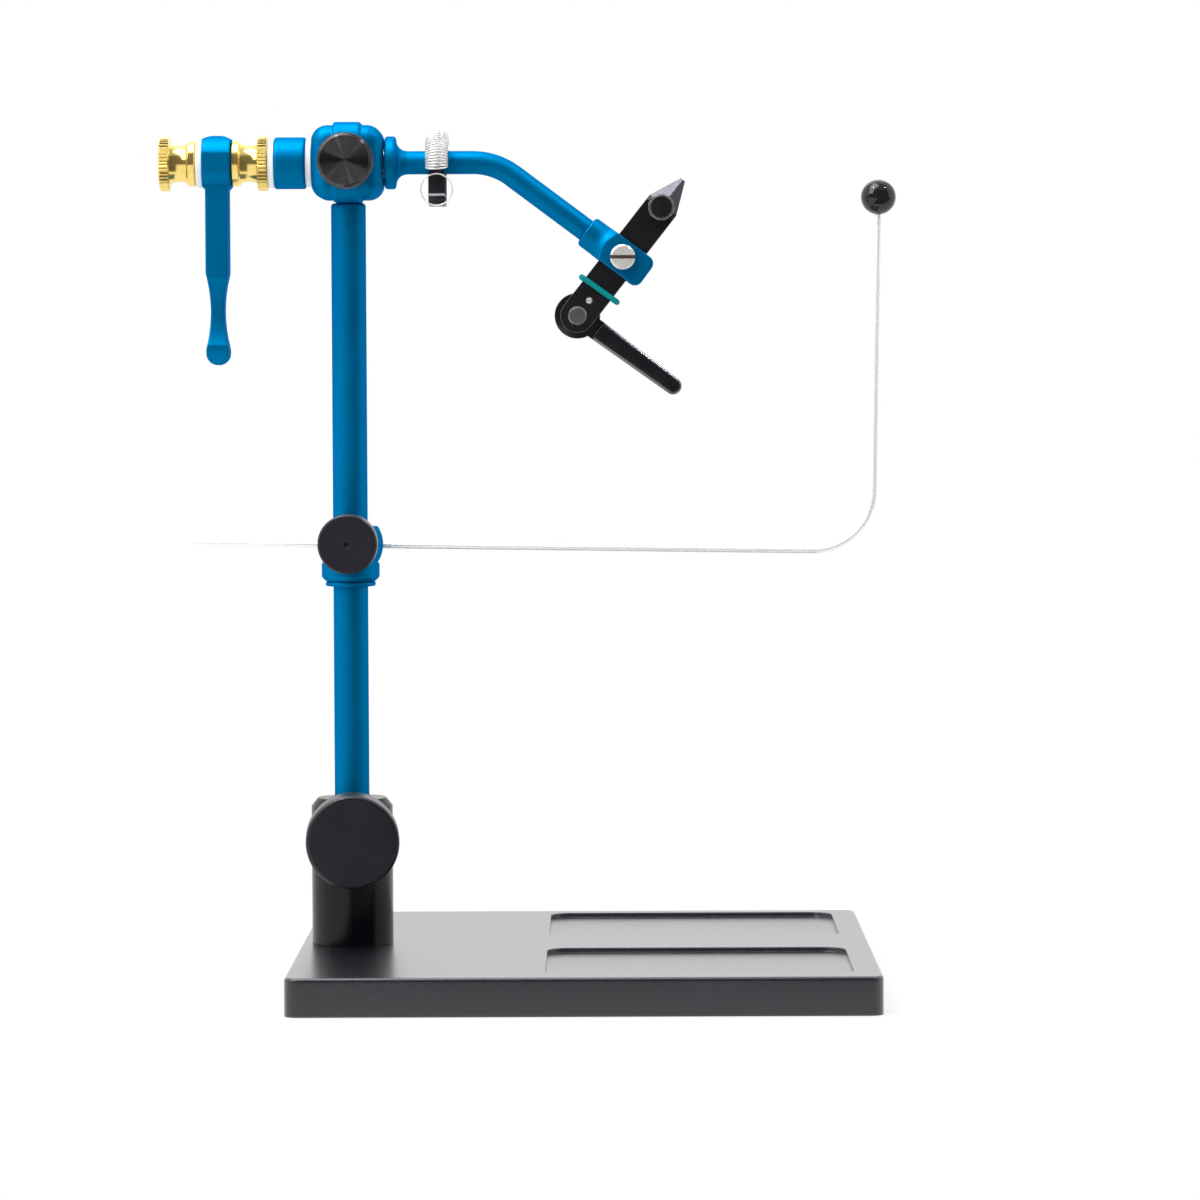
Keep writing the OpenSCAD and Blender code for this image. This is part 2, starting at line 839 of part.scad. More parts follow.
module collar_set_screw() {
    end = collar_d / 2 - 0.5;
    color(steel)
        difference() {
            set_screw_place(set_screw_d / 2, shaft_r + fit, end);
            translate([stem_x + collar_x + collar_len / 2, end + eps, spindle_z])
                rotate([90, 0, 0])
                    cylinder(r = set_screw_d / 4, h = 1.2, $fn = 6);
        }
}

// Thumb nut with its collar on Z = 0 and its knurled disc at the far end
module thumb_nut() {
    neck_len = nut_len - nut_disc_t - nut_collar_len;
    depth = (nut_neck_d - nut_waist_d) / 2;
    waist_cut_r = (neck_len * neck_len / 4 + depth * depth) / (2 * depth);
    color(brass)
        difference() {
            union() {
                pin(nut_collar_d / 2, nut_collar_len, 0.4);
                rotate_extrude()
                    difference() {
                        square([nut_neck_d / 2, nut_len - eps]);
                        translate([nut_waist_d / 2 + waist_cut_r, nut_collar_len + neck_len / 2])
                            circle(waist_cut_r);
                    }
                translate([0, 0, nut_len - nut_disc_t])
                    knurled_drum(nut_disc_d / 2, nut_disc_t, nut_teeth, nut_knurl, nut_knurl / 2);
            }
            translate([0, 0, -1])
                cylinder(r = thread_r + fit, h = nut_len + 2);
        }
}

module inner_thumb_nut() {
    on_spindle(inner_nut_x)
        thumb_nut();
}

module outer_thumb_nut() {
    on_spindle(outer_nut_x + nut_len)
        mirror([0, 0, 1])
            thumb_nut();
}

// Crank: its front outline and its side outline, each drawn about the spindle and cut through each other

// Bar with a round end and with two hollows at its waist
module waisted_bar(w, waist_w, hollow_half, reach) {
    half = w / 2;
    depth = half - waist_w / 2;
    cut_r = (hollow_half * hollow_half + depth * depth) / (2 * depth);
    difference() {
        union() {
            translate([-half, half - reach])
                square([w, reach - half]);
            translate([0, half - reach])
                circle(half);
        }
        for (s = [-1, 1])
            translate([s * (half - depth + cut_r), -crank_waist_z])
                circle(cut_r);
    }
}

// Front outline: a domed eye with chamfered shoulders over the bar
module crank_front() {
    half = crank_eye_len / 2;
    bar = crank_bar_w / 2;
    foot = crank_shoulder + half - bar;
    intersection() {
        circle(crank_eye_r + eps);
        translate([-half, -crank_shoulder])
            square([crank_eye_len, 2 * crank_eye_r]);
    }
    polygon([
        [-half, 0],
        [-half, -crank_shoulder],
        [-bar, -foot],
        [bar, -foot],
        [half, -crank_shoulder],
        [half, 0]
    ]);
    waisted_bar(crank_bar_w, crank_waist_w, crank_waist_half, crank_reach + eps);
}

// Side outline: a round eye with front and back flats over the bar
module crank_side() {
    intersection() {
        circle(crank_eye_r);
        square([2 * crank_flat, 2 * crank_eye_r], center = true);
    }
    waisted_bar(crank_bar_d, crank_waist_d, crank_side_waist_half, crank_reach);
}

module crank() {
    color(blue)
        translate([stem_x + crank_x + crank_eye_len / 2, 0, spindle_z])
            difference() {
                intersection() {
                    slab_y(-crank_eye_r, crank_eye_r)
                        crank_front();
                    slab_x(-crank_eye_len / 2, crank_eye_len / 2)
                        crank_side();
                }
                rotate([0, 90, 0])
                    cylinder(r = thread_r + fit, h = 2 * crank_eye_len, center = true);
            }
}

// Arm and clevis

module vise_arm() {
    straight = arm_corner - bend_tangent - flange_x;
    // The straight parts reach a little way into the bend, whose tube is a hair thinner
    lap = 0.3;
    bend_r = arm_r - 0.02;
    color(blue)
        difference() {
            union() {
                on_spindle(flange_x)
                    drum(flange_d / 2, flange_t, flange_edge_r);
                on_spindle(flange_x)
                    rotate_extrude()
                        union() {
                            square([arm_r, straight + lap]);
                            translate([0, flange_t - eps])
                                difference() {
                                    square([arm_r + cove_r, cove_r]);
                                    translate([arm_r + cove_r, cove_r + eps])
                                        circle(cove_r - eps);
                                }
                        }
                translate([stem_x + arm_corner - bend_tangent, 0, spindle_z - arm_bend_r])
                    rotate([90, 0, 0])
                        rotate([0, 0, 90 - arm_slope])
                            rotate_extrude(angle = arm_slope)
                                translate([arm_bend_r, 0])
                                    circle(bend_r);
                on_slope()
                    rotate([0, 90, 0]) {
                        translate([0, 0, bend_tangent - lap])
                            cylinder(r = arm_r, h = arm_reach - bend_tangent + lap);
                        translate([0, 0, arm_reach - eps])
                            cylinder(r = spigot_d / 2, h = spigot_len + eps);
                    }
            }
            on_spindle(flange_x - 1)
                cylinder(r = spigot_d / 2 + fit, h = 1 + spigot_len + run_gap);
        }
}

// Front outline of the clevis, with x down the slope from its arm end
module clevis_outline() {
    heel = clevis_len / 2;
    translate([clevis_len / 2, 0])
        round_rect(clevis_len, clevis_w, clevis_corner_r);
    translate([heel / 2, 0])
        round_rect(heel, clevis_w, clevis_heel_r);
}

// Round boss that flares out into the cheeks
module clevis_turning() {
    rotate([0, 90, 0])
        rotate_extrude()
            difference() {
                square([boss_r + flare_r, clevis_len]);
                translate([boss_r, -1])
                    square([flare_r + 1, 1 + boss_len]);
                translate([boss_r + flare_r, boss_len])
                    circle(flare_r);
            }
}

module jaw_clevis() {
    slot_half = jaw_face + run_gap;
    color(blue)
        on_slope()
            translate([arm_reach, 0, 0])
                difference() {
                    intersection() {
                        clevis_turning();
                        slab_y(-clevis_half, clevis_half)
                            clevis_outline();
                    }
                    translate([pivot_at - slot_reach, -slot_half, -clevis_w])
                        cube([clevis_len, 2 * slot_half, 2 * clevis_w]);
                    translate([pivot_at, 0, 0])
                        rotate([90, 0, 0])
                            cylinder(r = pivot_d / 2 + fit, h = 4 * clevis_half, center = true);
                    translate([-1, 0, 0])
                        rotate([0, 90, 0])
                            cylinder(r = spigot_d / 2 + fit, h = 1 + spigot_len + run_gap);
                }
}

module pivot_screw() {
    r = pivot_head_d / 2;
    color(steel)
        translate([pivot_x, -clevis_half, pivot_z])
            rotate([90, 0, 0])
                difference() {
                    union() {
                        rotate_extrude()
                            polygon([
                                [0, 0],
                                [r, 0],
                                [r, pivot_head_t - 0.4],
                                [r - 0.5, pivot_head_t],
                                [0, pivot_head_t]
                            ]);
                        translate([0, 0, -2 * clevis_half])
                            cylinder(r = pivot_d / 2, h = 2 * clevis_half + eps);
                    }
                    translate([0, 0, pivot_head_t])
                        cube([3 * r, pivot_slot_w, pivot_head_t], center = true);
                }
}

// Jaws, drawn in their own frame with the rear plate on the +y side

module jaw_outline() {
    circle(jaw_w / 2);
    translate([0, -jaw_w / 2])
        square([taper_u, jaw_w]);
    polygon([
        [taper_u - eps, -jaw_w / 2],
        [taper_u, -jaw_w / 2],
        [tip_u, -tip_w / 2],
        [tip_u, tip_w / 2],
        [taper_u, jaw_w / 2],
        [taper_u - eps, jaw_w / 2]
    ]);
}

// Jaw plate with its ground tip and with the lever's pocket cut down to pocket_face
module jaw_plate(pocket_face) {
    big = 2 * tip_u;
    difference() {
        union() {
            slab_y(jaw_gap / 2, jaw_face)
                jaw_outline();
            slab_y(tip_gap / 2, jaw_gap / 2 + eps)
                intersection() {
                    jaw_outline();
                    translate([tip_u - tip_land, -jaw_w / 2])
                        square([tip_land, jaw_w]);
                }
        }
        for (s = [-1, 1])
            translate([tip_u - ridge_len, jaw_face, 0])
                rotate([0, 0, -ridge_fall])
                    rotate([s * facet_fall, 0, 0])
                        translate([-tip_u / 2, 0, -big / 2])
                            cube([big, big, big]);
        translate([-jaw_w, 0, -jaw_w])
            cube([jaw_w + cam_pocket_u, pocket_face, 2 * jaw_w]);
    }
}

module front_jaw() {
    color(black)
        on_jaws()
            difference() {
                mirror([0, 1, 0])
                    jaw_plate(cam_face);
                jaw_hole(0, pin_d / 2 + fit);
                jaw_hole(follower_u, follower_d / 2 + fit);
                jaw_hole(jaw_pivot_u, pivot_d / 2 + fit);
                jaw_hole(fulcrum_u, adjust_d / 2 + fit);
            }
}

module rear_jaw() {
    color(black)
        on_jaws()
            difference() {
                jaw_plate(rear_cam_face);
                jaw_hole(0, pin_d / 2 + swing_gap);
                jaw_hole(follower_u, follower_d / 2 + fit);
                jaw_hole(jaw_pivot_u, pivot_d / 2 + swing_gap);
                jaw_hole(fulcrum_u, adjust_d / 2 + swing_gap);
            }
}

module cam_pin() {
    len = 2 * (jaw_face + pin_proud);
    color(steel)
        on_jaws()
            translate([0, len / 2, 0])
                rotate([90, 0, 0])
                    pin(pin_d / 2, len, pin_proud);
}

module stop_pin() {
    color(steel)
        on_jaws()
            translate([follower_u, -cam_face, 0])
                rotate([90, 0, 0])
                    pin(follower_d / 2, jaw_t - cam_pocket, 0.2);
}

// Round-nosed pin in the rear plate that rides on the cam disc
module cam_follower() {
    r = follower_d / 2;
    color(steel)
        on_jaws()
            translate([follower_u, follower_tip, 0])
                rotate([-90, 0, 0])
                    rotate_extrude()
                        union() {
                            intersection() {
                                translate([0, r])
                                    circle(r);
                                square([r, r]);
                            }
                            translate([0, r - eps])
                                square([r, jaw_face - follower_tip - r + eps]);
                        }
}

// Outline of the lever about the cam pin, with x along the handle
module lever_outline() {
    end_r = lever_end_w / 2;
    circle(disc_r);
    polygon([
        [0, -lever_root_w / 2],
        [lever_len - end_r, -end_r],
        [lever_len - end_r, end_r],
        [0, lever_root_w / 2]
    ]);
    translate([lever_len - end_r, 0])
        circle(end_r);
}

module cam_lever() {
    handle_u = disc_r + free_gap;
    span = 4 * lever_len;
    color(black)
        on_jaws()
            difference() {
                union() {
                    difference() {
                        slab_y(disc_front, disc_mid + cam_pocket)
                            rotate(-lever_angle)
                                intersection() {
                                    lever_outline();
                                    circle(handle_u + free_gap);
                                }
                        translate([0, disc_mid, 0])
                            rotate([0, 45, 0])
                                rotate([0, 0, cam_tilt])
                                    translate([-span / 2, 0, -span / 2])
                                        cube(span);
                    }
                    slab_y(-lever_t / 2, lever_t / 2)
                        rotate(-lever_angle)
                            intersection() {
                                lever_outline();
                                translate([handle_u, -lever_len / 2])
                                    square(lever_len);
                            }
                }
                jaw_hole(0, pin_d / 2 + fit);
            }
}

module adjusting_screw() {
    color(black)
        on_jaws()
            translate([fulcrum_u, -jaw_face - run_gap, 0])
                rotate([90, 0, 0]) {
                    knurled_drum(adjust_head_d / 2, adjust_head_t, adjust_teeth, knurl_depth, knurl_depth);
                    translate([0, 0, -2 * jaw_face - run_gap])
                        cylinder(r = adjust_d / 2, h = 2 * jaw_face + run_gap + eps);
                }
}

// Rubber ring drawn as a cord round the two plates
module jaw_ring() {
    r = ring_cord / 2;
    bend_r = r + free_gap;
    half_y = jaw_face + run_gap + r;
    half_z = jaw_w / 2 + ring_slack + r;
    bend_y = half_y - bend_r;
    bend_z = half_z - bend_r;
    color(teal)
        on_jaws()
            translate([ring_u, 0, ring_off])
                rotate([0, -ring_slant, 0]) {
                    for (s = [-1, 1]) {
                        translate([0, s * half_y, 0])
                            cylinder(r = r, h = 2 * bend_z, center = true);
                        translate([0, 0, s * half_z])
                            rotate([90, 0, 0])
                                cylinder(r = r, h = 2 * bend_y, center = true);
                    }
                    for (i = [0 : 3])
                        translate([0, bend_y * sign(cos(90 * i + 45)), bend_z * sign(sin(90 * i + 45))])
                            rotate([90, 0, 90])
                                rotate([0, 0, 90 * i])
                                    rotate_extrude(angle = 90)
                                        translate([bend_r, 0])
                                            circle(r);
                }
}

// Material clip

// Point of the spring's centre line at part t of its length, about the arm's axis
function clip_point(t) =
    let (a = clip_span * (t - 0.5), c = 360 * clip_curls * t, q = coil_path_r + coil_r * cos(c))
        [coil_r * sin(c), q * sin(a), q * cos(a)];

// Unit vector from the coil's middle to its wire at part t
function clip_out(t) =
    let (a = clip_span * (t - 0.5), c = 360 * clip_curls * t)
        [sin(c), cos(c) * sin(a), cos(c) * cos(a)];

function unit(v) = v / norm(v);

clip_steps = 8 * clip_curls;
clip_sides = 6;
clip_rings = [
    for (i = [0 : clip_steps])
        let (
            t = i / clip_steps,
            d = 0.1 / clip_steps,
            along = unit(clip_point(t + d) - clip_point(t - d)),
            out = clip_out(t),
            side = cross(along, out)
        )
            [
                for (k = [0 : clip_sides - 1])
                    let (a = 360 * k / clip_sides)
                        clip_point(t) + clip_wire_d / 2 * (cos(a) * out + sin(a) * side)
            ]
];
clip_line = [for (i = [0 : 3 * clip_steps]) clip_point(i / (3 * clip_steps))];
clip_spacing = min([
    for (i = [0 : 3 * clip_steps], j = [i + 12 : min(i + 40, 3 * clip_steps)])
        if (j <= 3 * clip_steps)
            norm(clip_line[i] - clip_line[j])
]);
echo(clip_least_gap = clip_spacing - clip_wire_d);

module clip_spring() {
    last = clip_sides * clip_steps;
    faces = concat(
        [
            for (i = [0 : clip_steps - 1], k = [0 : clip_sides - 1])
                let (a = i * clip_sides + k, b = i * clip_sides + (k + 1) % clip_sides)
                    each [[a, b, a + clip_sides], [b, b + clip_sides, a + clip_sides]]
        ],
        [for (k = [1 : clip_sides - 2]) [0, k + 1, k]],
        [for (k = [1 : clip_sides - 2]) [last, last + k, last + k + 1]]
    );
    color(steel)
        translate([stem_x + clip_at, 0, spindle_z])
            polyhedron([for (ring = clip_rings) each ring], faces);
}

// Strap that closes the spring's ring below the arm, seen from the side
module strap_side() {
    bend_z = strap_outer - strap_drop;
    difference() {
        union() {
            translate([-strap_outer, bend_z])
                square([2 * strap_outer, -strap_top - bend_z]);
            translate([0, bend_z])
                circle(strap_outer);
        }
        translate([strap_t - strap_outer, bend_z])
            square([2 * (strap_outer - strap_t), strap_drop]);
        translate([0, bend_z])
            circle(strap_outer - strap_t);
    }
}

module clip_strap() {
    tongue = strap_top + coil_r / 4;
    color(black)
        translate([stem_x + clip_at, 0, spindle_z]) {
            slab_x(-strap_w / 2, strap_w / 2)
                strap_side();
            for (s = [-1, 1])
                translate([-tongue_w / 2, s * strap_mid - strap_t / 2, -strap_top - eps])
                    cube([tongue_w, strap_t, tongue]);
        }
}

module clip_loop() {
    r = loop_wire_d / 2;
    color(steel)
        translate([stem_x + clip_at, -strap_outer - r - fit, spindle_z - strap_drop + loop_r])
            rotate([90, 0, 0])
                rotate_extrude()
                    translate([loop_r, 0])
                        circle(r);
}

// Bobbin cradle

module thrust_ring() {
    color(blue)
        translate([stem_x, 0, thrust_z])
            difference() {
                drum(thrust_r, thrust_t, thrust_edge_r);
                translate([0, 0, -1])
                    cylinder(r = stem_r + fit, h = thrust_t + 2);
            }
}

module cradle_body() {
    shoulder = 0.4;
    color(blue)
        difference() {
            translate([stem_x, 0, cradle_z]) {
                intersection() {
                    sphere(cradle_r);
                    translate([0, 0, -cradle_half_h])
                        cylinder(r = 2 * cradle_r, h = 2 * cradle_half_h);
                }
                rotate_extrude()
                    polygon([
                        [0, collar_bottom],
                        [thrust_r, collar_bottom],
                        [cradle_flange_r, flange_bottom],
                        [cradle_flange_r, -cradle_half_h - shoulder],
                        [cradle_flange_r - shoulder, -cradle_half_h],
                        [cradle_flange_r - 2 * shoulder, -cradle_half_h + eps],
                        [0, -cradle_half_h + eps]
                    ]);
            }
            translate([stem_x, 0, cradle_z - 4 * cradle_r])
                cylinder(r = stem_r + fit, h = 8 * cradle_r);
            to_front(cradle_knob_z, 0)
                cylinder(r = cradle_screw_d / 2 + fit, h = 2 * cradle_r);
            on_rod()
                rotate([0, 90, 0])
                    cylinder(r = rod_r + fit, h = 4 * cradle_r, center = true);
        }
}

module cradle_knob() {
    color(black)
        to_front(cradle_knob_z, cradle_r + free_gap)
            difference() {
                pin(cradle_knob_d / 2, cradle_knob_len, 0.4);
                translate([0, 0, -1])
                    cylinder(r = cradle_screw_d / 2 + fit, h = 1 + cradle_knob_len * 0.6);
                translate([0, 0, cradle_knob_len])
                    sphere(0.8);
            }
}

module cradle_knob_screw() {
    tip = stem_r + fit;
    seat = cradle_r + free_gap + cradle_knob_len * 0.6;
    color(steel)
        to_front(cradle_knob_z, tip)
            pin(cradle_screw_d / 2, seat - tip - run_gap, 0.4);
}

module bobbin_rod() {
    color(steel)
        on_rod() {
            translate([-rod_left, 0, 0])
                rotate([0, 90, 0])
                    cylinder(r = rod_r, h = rod_left + rod_right - rod_bend_r);
            translate([rod_right - rod_bend_r, 0, rod_bend_r])
                rotate([90, 0, 0])
                    rotate([0, 0, -90])
                        rotate_extrude(angle = 90)
                            translate([rod_bend_r, 0])
                                circle(rod_r);
            translate([rod_right, 0, rod_bend_r])
                cylinder(r = rod_r, h = rod_up - rod_bend_r);
        }
}

module rod_ball() {
    color(black)
        on_rod()
            translate([rod_right, 0, rod_up])
                difference() {
                    sphere(ball_d / 2);
                    translate([0, 0, -ball_d])
                        cylinder(r = rod_r + fit, h = ball_d + run_gap);
                }
}

base_plate();
base_post();
post_screw();
base_knob();
base_knob_screw();
stem();
head_block();
left_bushing();
right_bushing();
drag_plug();
head_knob();
head_knob_screw();
spindle_shaft();
head_washer();
drag_collar();
collar_set_screw();
nut_washer();
inner_thumb_nut();
crank();
crank_washer();
outer_thumb_nut();
vise_arm();
jaw_clevis();
pivot_screw();
front_jaw();
rear_jaw();
cam_pin();
stop_pin();
cam_follower();
cam_lever();
adjusting_screw();
jaw_ring();
clip_spring();
clip_strap();
clip_loop();
thrust_ring();
cradle_body();
cradle_knob();
cradle_knob_screw();
bobbin_rod();
rod_ball();
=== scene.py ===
# %% [markdown]
# # A rotary fly tying vise
# The vise holds a fish hook while a fly is tied on it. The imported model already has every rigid
# piece at its real place and size. This lesson dresses it: each piece gets its finish, the soft
# and wound pieces are modelled again with more care, and a small studio is set up around it.

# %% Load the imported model
import json
import math
import bpy
from mathutils import Matrix, Vector


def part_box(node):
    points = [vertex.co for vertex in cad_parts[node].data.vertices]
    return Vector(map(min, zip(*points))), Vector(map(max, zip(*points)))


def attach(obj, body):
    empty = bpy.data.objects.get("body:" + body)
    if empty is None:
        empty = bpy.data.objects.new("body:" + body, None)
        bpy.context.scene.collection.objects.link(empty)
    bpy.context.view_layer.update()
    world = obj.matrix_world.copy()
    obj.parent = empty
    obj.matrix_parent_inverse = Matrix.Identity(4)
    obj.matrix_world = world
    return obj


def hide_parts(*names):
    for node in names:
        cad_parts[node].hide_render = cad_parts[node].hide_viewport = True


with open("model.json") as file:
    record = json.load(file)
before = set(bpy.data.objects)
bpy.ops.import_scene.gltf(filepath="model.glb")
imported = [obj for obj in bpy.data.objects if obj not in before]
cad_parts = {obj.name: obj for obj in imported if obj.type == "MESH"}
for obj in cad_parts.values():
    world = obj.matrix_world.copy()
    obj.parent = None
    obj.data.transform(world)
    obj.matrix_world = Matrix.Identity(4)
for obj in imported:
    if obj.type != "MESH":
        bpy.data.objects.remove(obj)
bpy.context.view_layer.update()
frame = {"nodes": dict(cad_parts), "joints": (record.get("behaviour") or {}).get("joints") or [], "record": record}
nodes = frame["nodes"]
joints = {j["name"]: j for j in frame["joints"]}
slot_of = {part["node"]: part["material_slot"] for part in frame["record"]["subparts"]}
MM = 0.001

# %% [markdown]
# ## The camera
# The photograph was taken from far away with a long lens, a little above the middle of the vise.
# A camera could be placed by eye. Here its place, tilt and lens come from a fit to the plate's
# corners, so a piece falls on the same spot of the frame as in the photograph.

# %% Camera
FRAME_PX = 1200
LENS_PX = 4822
SENSOR_MM = 36
EYE_MM = Vector((7.7, -1291.9, 163.3))
PITCH, YAW, ROLL = 2.71, 0.15, -0.23


def camera_turn(pitch, yaw, roll):
    """Rows are the camera's right, down and forward directions in the model's frame."""
    p, y, r = (math.radians(a) for a in (pitch, yaw, roll))
    look = Matrix(((math.cos(y), math.sin(y), 0), (-math.sin(y), math.cos(y), 0), (0, 0, 1)))
    stand = Matrix(((1, 0, 0), (0, 0, -1), (0, 1, 0)))
    nod = Matrix(((1, 0, 0), (0, math.cos(p), -math.sin(p)), (0, math.sin(p), math.cos(p))))
    tip = Matrix(((math.cos(r), -math.sin(r), 0), (math.sin(r), math.cos(r), 0), (0, 0, 1)))
    return tip @ nod @ stand @ look


turn = camera_turn(PITCH, YAW, ROLL)
camera_data = bpy.data.cameras.new("camera")
camera_data.sensor_width = SENSOR_MM
camera_data.lens = LENS_PX / FRAME_PX * SENSOR_MM
camera = bpy.data.objects.new("camera", camera_data)
bpy.context.scene.collection.objects.link(camera)
columns = Matrix((turn[0], -turn[1], -turn[2])).transposed()
camera.matrix_world = Matrix.Translation(EYE_MM * MM) @ columns.to_4x4()
bpy.context.scene.camera = camera
bpy.context.scene.view_settings.view_transform = "Standard"
print("lens", round(camera_data.lens, 2), "mm")

# %% [markdown]
# ## The studio
# The photograph is high key: a white tent, bright from above, with the darker room behind the
# camera. The room is what draws the dark middle on the round stem. It is made as three grey cards
# that only reflections see, and the white comes from the world and the floor. The node trees of
# all of them are built with a few small helpers.

# %% Small helpers for node trees


def add_node(tree, kind, **settings):
    """A node of that kind, with its properties set."""
    made = tree.nodes.new(kind)
    for key, value in settings.items():
        setattr(made, key, value)
    return made


def math_node(tree, operation, first, second=None, clamp=False):
    """A Math node fed by sockets or plain numbers. Returns its output."""
    made = add_node(tree, "ShaderNodeMath", operation=operation, use_clamp=clamp)
    for socket, value in zip(made.inputs, (first, second)):
        if value is None:
            continue
        if isinstance(value, (int, float)):
            socket.default_value = value
        else:
            tree.links.new(value, socket)
    return made.outputs[0]


def seen_directly(tree):
    """1 for what the camera or a reflection sees, 0 for light that falls on the pieces."""
    path = add_node(tree, "ShaderNodeLightPath")
    seen = path.outputs["Is Camera Ray"]
    for ray in ("Is Glossy Ray", "Is Transmission Ray"):
        seen = math_node(tree, "MAXIMUM", seen, path.outputs[ray])
    return seen


def stage_material(name):
    """An empty material for something that isn't part of the object."""
    material = bpy.data.materials.new(name)
    material.use_nodes = True
    material.node_tree.nodes.clear()
    return material


print("node helpers ready")

# %% [markdown]
# ### The white tent
# A tent of white cloth lights the vise from all round. The cloth could be modelled, but an even
# white world gives the same light. What is seen of it is plain white, and the light that falls on
# the pieces is a little weaker, so that their colours keep their depth.

# %% World
LIGHT_LEVEL = 0.8
world = bpy.data.worlds.new("tent")
world.use_nodes = True
bpy.context.scene.world = world
tree = world.node_tree
level = math_node(tree, "MULTIPLY_ADD", seen_directly(tree), 1 - LIGHT_LEVEL)
level.node.inputs[2].default_value = LIGHT_LEVEL
tree.links.new(level, tree.nodes["Background"].inputs["Strength"])
tree.nodes["Background"].inputs["Color"].default_value = (1, 1, 1, 1)
print("tent light on the pieces:", LIGHT_LEVEL)

# %% [markdown]
# ### The floor
# The vise stands on white paper that runs out into white, and its shadow shows only close to the
# plate. A floor that glows all over would lose the shadow, so the paper shows a little near the
# plate and fades to plain white further out.

# %% Floor
FLOOR_HALF, FLOOR_DROP = 4, 0.2 * MM
NEAR, FAR = 0.12, 0.32
WHITE_NEAR_PLATE = 0.8
PAPER = (0.9, 0.9, 0.9, 1)
bpy.ops.object.select_all(action="DESELECT")
bpy.ops.mesh.primitive_plane_add(size=2 * FLOOR_HALF, location=(0, 0, -FLOOR_DROP))
floor = bpy.context.object
floor.name = "floor"
material = stage_material("pale_floor")
tree = material.node_tree
place = add_node(tree, "ShaderNodeTexCoord")
away = add_node(tree, "ShaderNodeVectorMath", operation="LENGTH")
tree.links.new(place.outputs["Object"], away.inputs[0])
fade = add_node(tree, "ShaderNodeMapRange", interpolation_type="SMOOTHSTEP")
fade.inputs["From Min"].default_value = NEAR
fade.inputs["From Max"].default_value = FAR
fade.inputs["To Min"].default_value = WHITE_NEAR_PLATE
tree.links.new(away.outputs["Value"], fade.inputs["Value"])
share = math_node(tree, "MULTIPLY", seen_directly(tree), fade.outputs["Result"])
paper = add_node(tree, "ShaderNodeBsdfDiffuse")
paper.inputs["Color"].default_value = PAPER
glow = add_node(tree, "ShaderNodeEmission")
mix = add_node(tree, "ShaderNodeMixShader")
out = add_node(tree, "ShaderNodeOutputMaterial")
tree.links.new(share, mix.inputs[0])
tree.links.new(paper.outputs[0], mix.inputs[1])
tree.links.new(glow.outputs[0], mix.inputs[2])
tree.links.new(mix.outputs[0], out.inputs["Surface"])
floor.data.materials.append(material)
print("floor fades to white from", NEAR, "to", FAR, "m")

# %% [markdown]
# ### The room in front of the tent
# The tent is open towards the camera, and the dark room beyond shows in every smooth face. Only its
# grey matters, so modelling it would be wasted: three cards stand for its wall, ceiling and floor.
# They are a little blue, as the blacks in the photograph are.

# %% The room behind the camera and above it
ROOM_GREY, CEILING_GREY, COOL = 0.06, 0.45, 1.25
TABLE_END, FLOOR_CARD = -0.16, 3.0


def dark_card(name, size, location, rotation, grey):
    """A grey card that only reflections see."""
    bpy.ops.object.select_all(action="DESELECT")
    bpy.ops.mesh.primitive_plane_add(size=size, location=location, rotation=rotation)
    card = bpy.context.object
    card.name = name
    card.visible_camera = False
    card.visible_diffuse = False
    card.visible_shadow = False
    material = stage_material(name + "_grey")
    tree = material.node_tree
    glow = add_node(tree, "ShaderNodeEmission")
    glow.inputs["Color"].default_value = (grey, grey, grey * COOL, 1)
    out = add_node(tree, "ShaderNodeOutputMaterial")
    tree.links.new(glow.outputs[0], out.inputs["Surface"])
    card.data.materials.append(material)
    print("card", name, "grey", grey)


dark_card("room", 8.0, (0, -1.5, 0.9), (math.pi / 2, 0, 0), ROOM_GREY)
dark_card("ceiling", 2.2, (0.3, -0.9, 2.0), (0, 0, 0), CEILING_GREY)
dark_card("room_floor", FLOOR_CARD, (1.415, TABLE_END - FLOOR_CARD / 2, 0.001), (0, 0, 0), ROOM_GREY)

# %% [markdown]
# ### The lamps
# Soft boxes above, behind and at the left give the pieces brighter tops and left sides. One large
# lamp would light them as well, but no edge would stand out. Two small lamps high up show in
# reflections alone: they draw the thin light lines on the turned knob face.

# %% Lamps
MIDDLE = (0, 0, 0.14)
SPARK_SIZE, SPARK_POWER, SPARK_Y, SPARK_Z = 0.04, 2.4, -0.25, 1.1


def soft_lamp(name, size, power, location, target):
    """A square softbox that faces target."""
    data = bpy.data.lights.new(name, "AREA")
    data.size = size
    data.energy = power
    lamp = bpy.data.objects.new(name, data)
    bpy.context.scene.collection.objects.link(lamp)
    aim = (Vector(target) - Vector(location)).to_track_quat("-Z", "Y")
    lamp.matrix_world = Matrix.Translation(location) @ aim.to_matrix().to_4x4()
    return lamp


soft_lamp("top_softbox", 0.6, 5.2, (-0.25, -0.12, 1.0), (-0.05, 0, 0.2))
soft_lamp("rear_softbox", 0.9, 2.0, (0, 0.8, 0.85), MIDDLE)
soft_lamp("key_softbox", 0.55, 4.0, (-0.72, -0.5, 0.8), MIDDLE)
for name, spark_x in (("high_left_lamp", -0.39), ("high_right_lamp", 0.69)):
    spark = soft_lamp(name, SPARK_SIZE, SPARK_POWER, (spark_x, SPARK_Y, SPARK_Z), MIDDLE)
    spark.visible_diffuse = False

# %% [markdown]
# ## Effects that several finishes share
# Grain and lighter edges, partly wear and partly a painted highlight, appear on more than one finish. Each could
# be drawn again in every material.
# Made once as a node group, it keeps one look and takes its own values each time.

# %% Node groups
FLOAT, VECTOR = "NodeSocketFloat", "NodeSocketVector"
GRAIN_DETAIL, EDGE_SAMPLES, EDGE_GAIN = 3, 6, 5.0


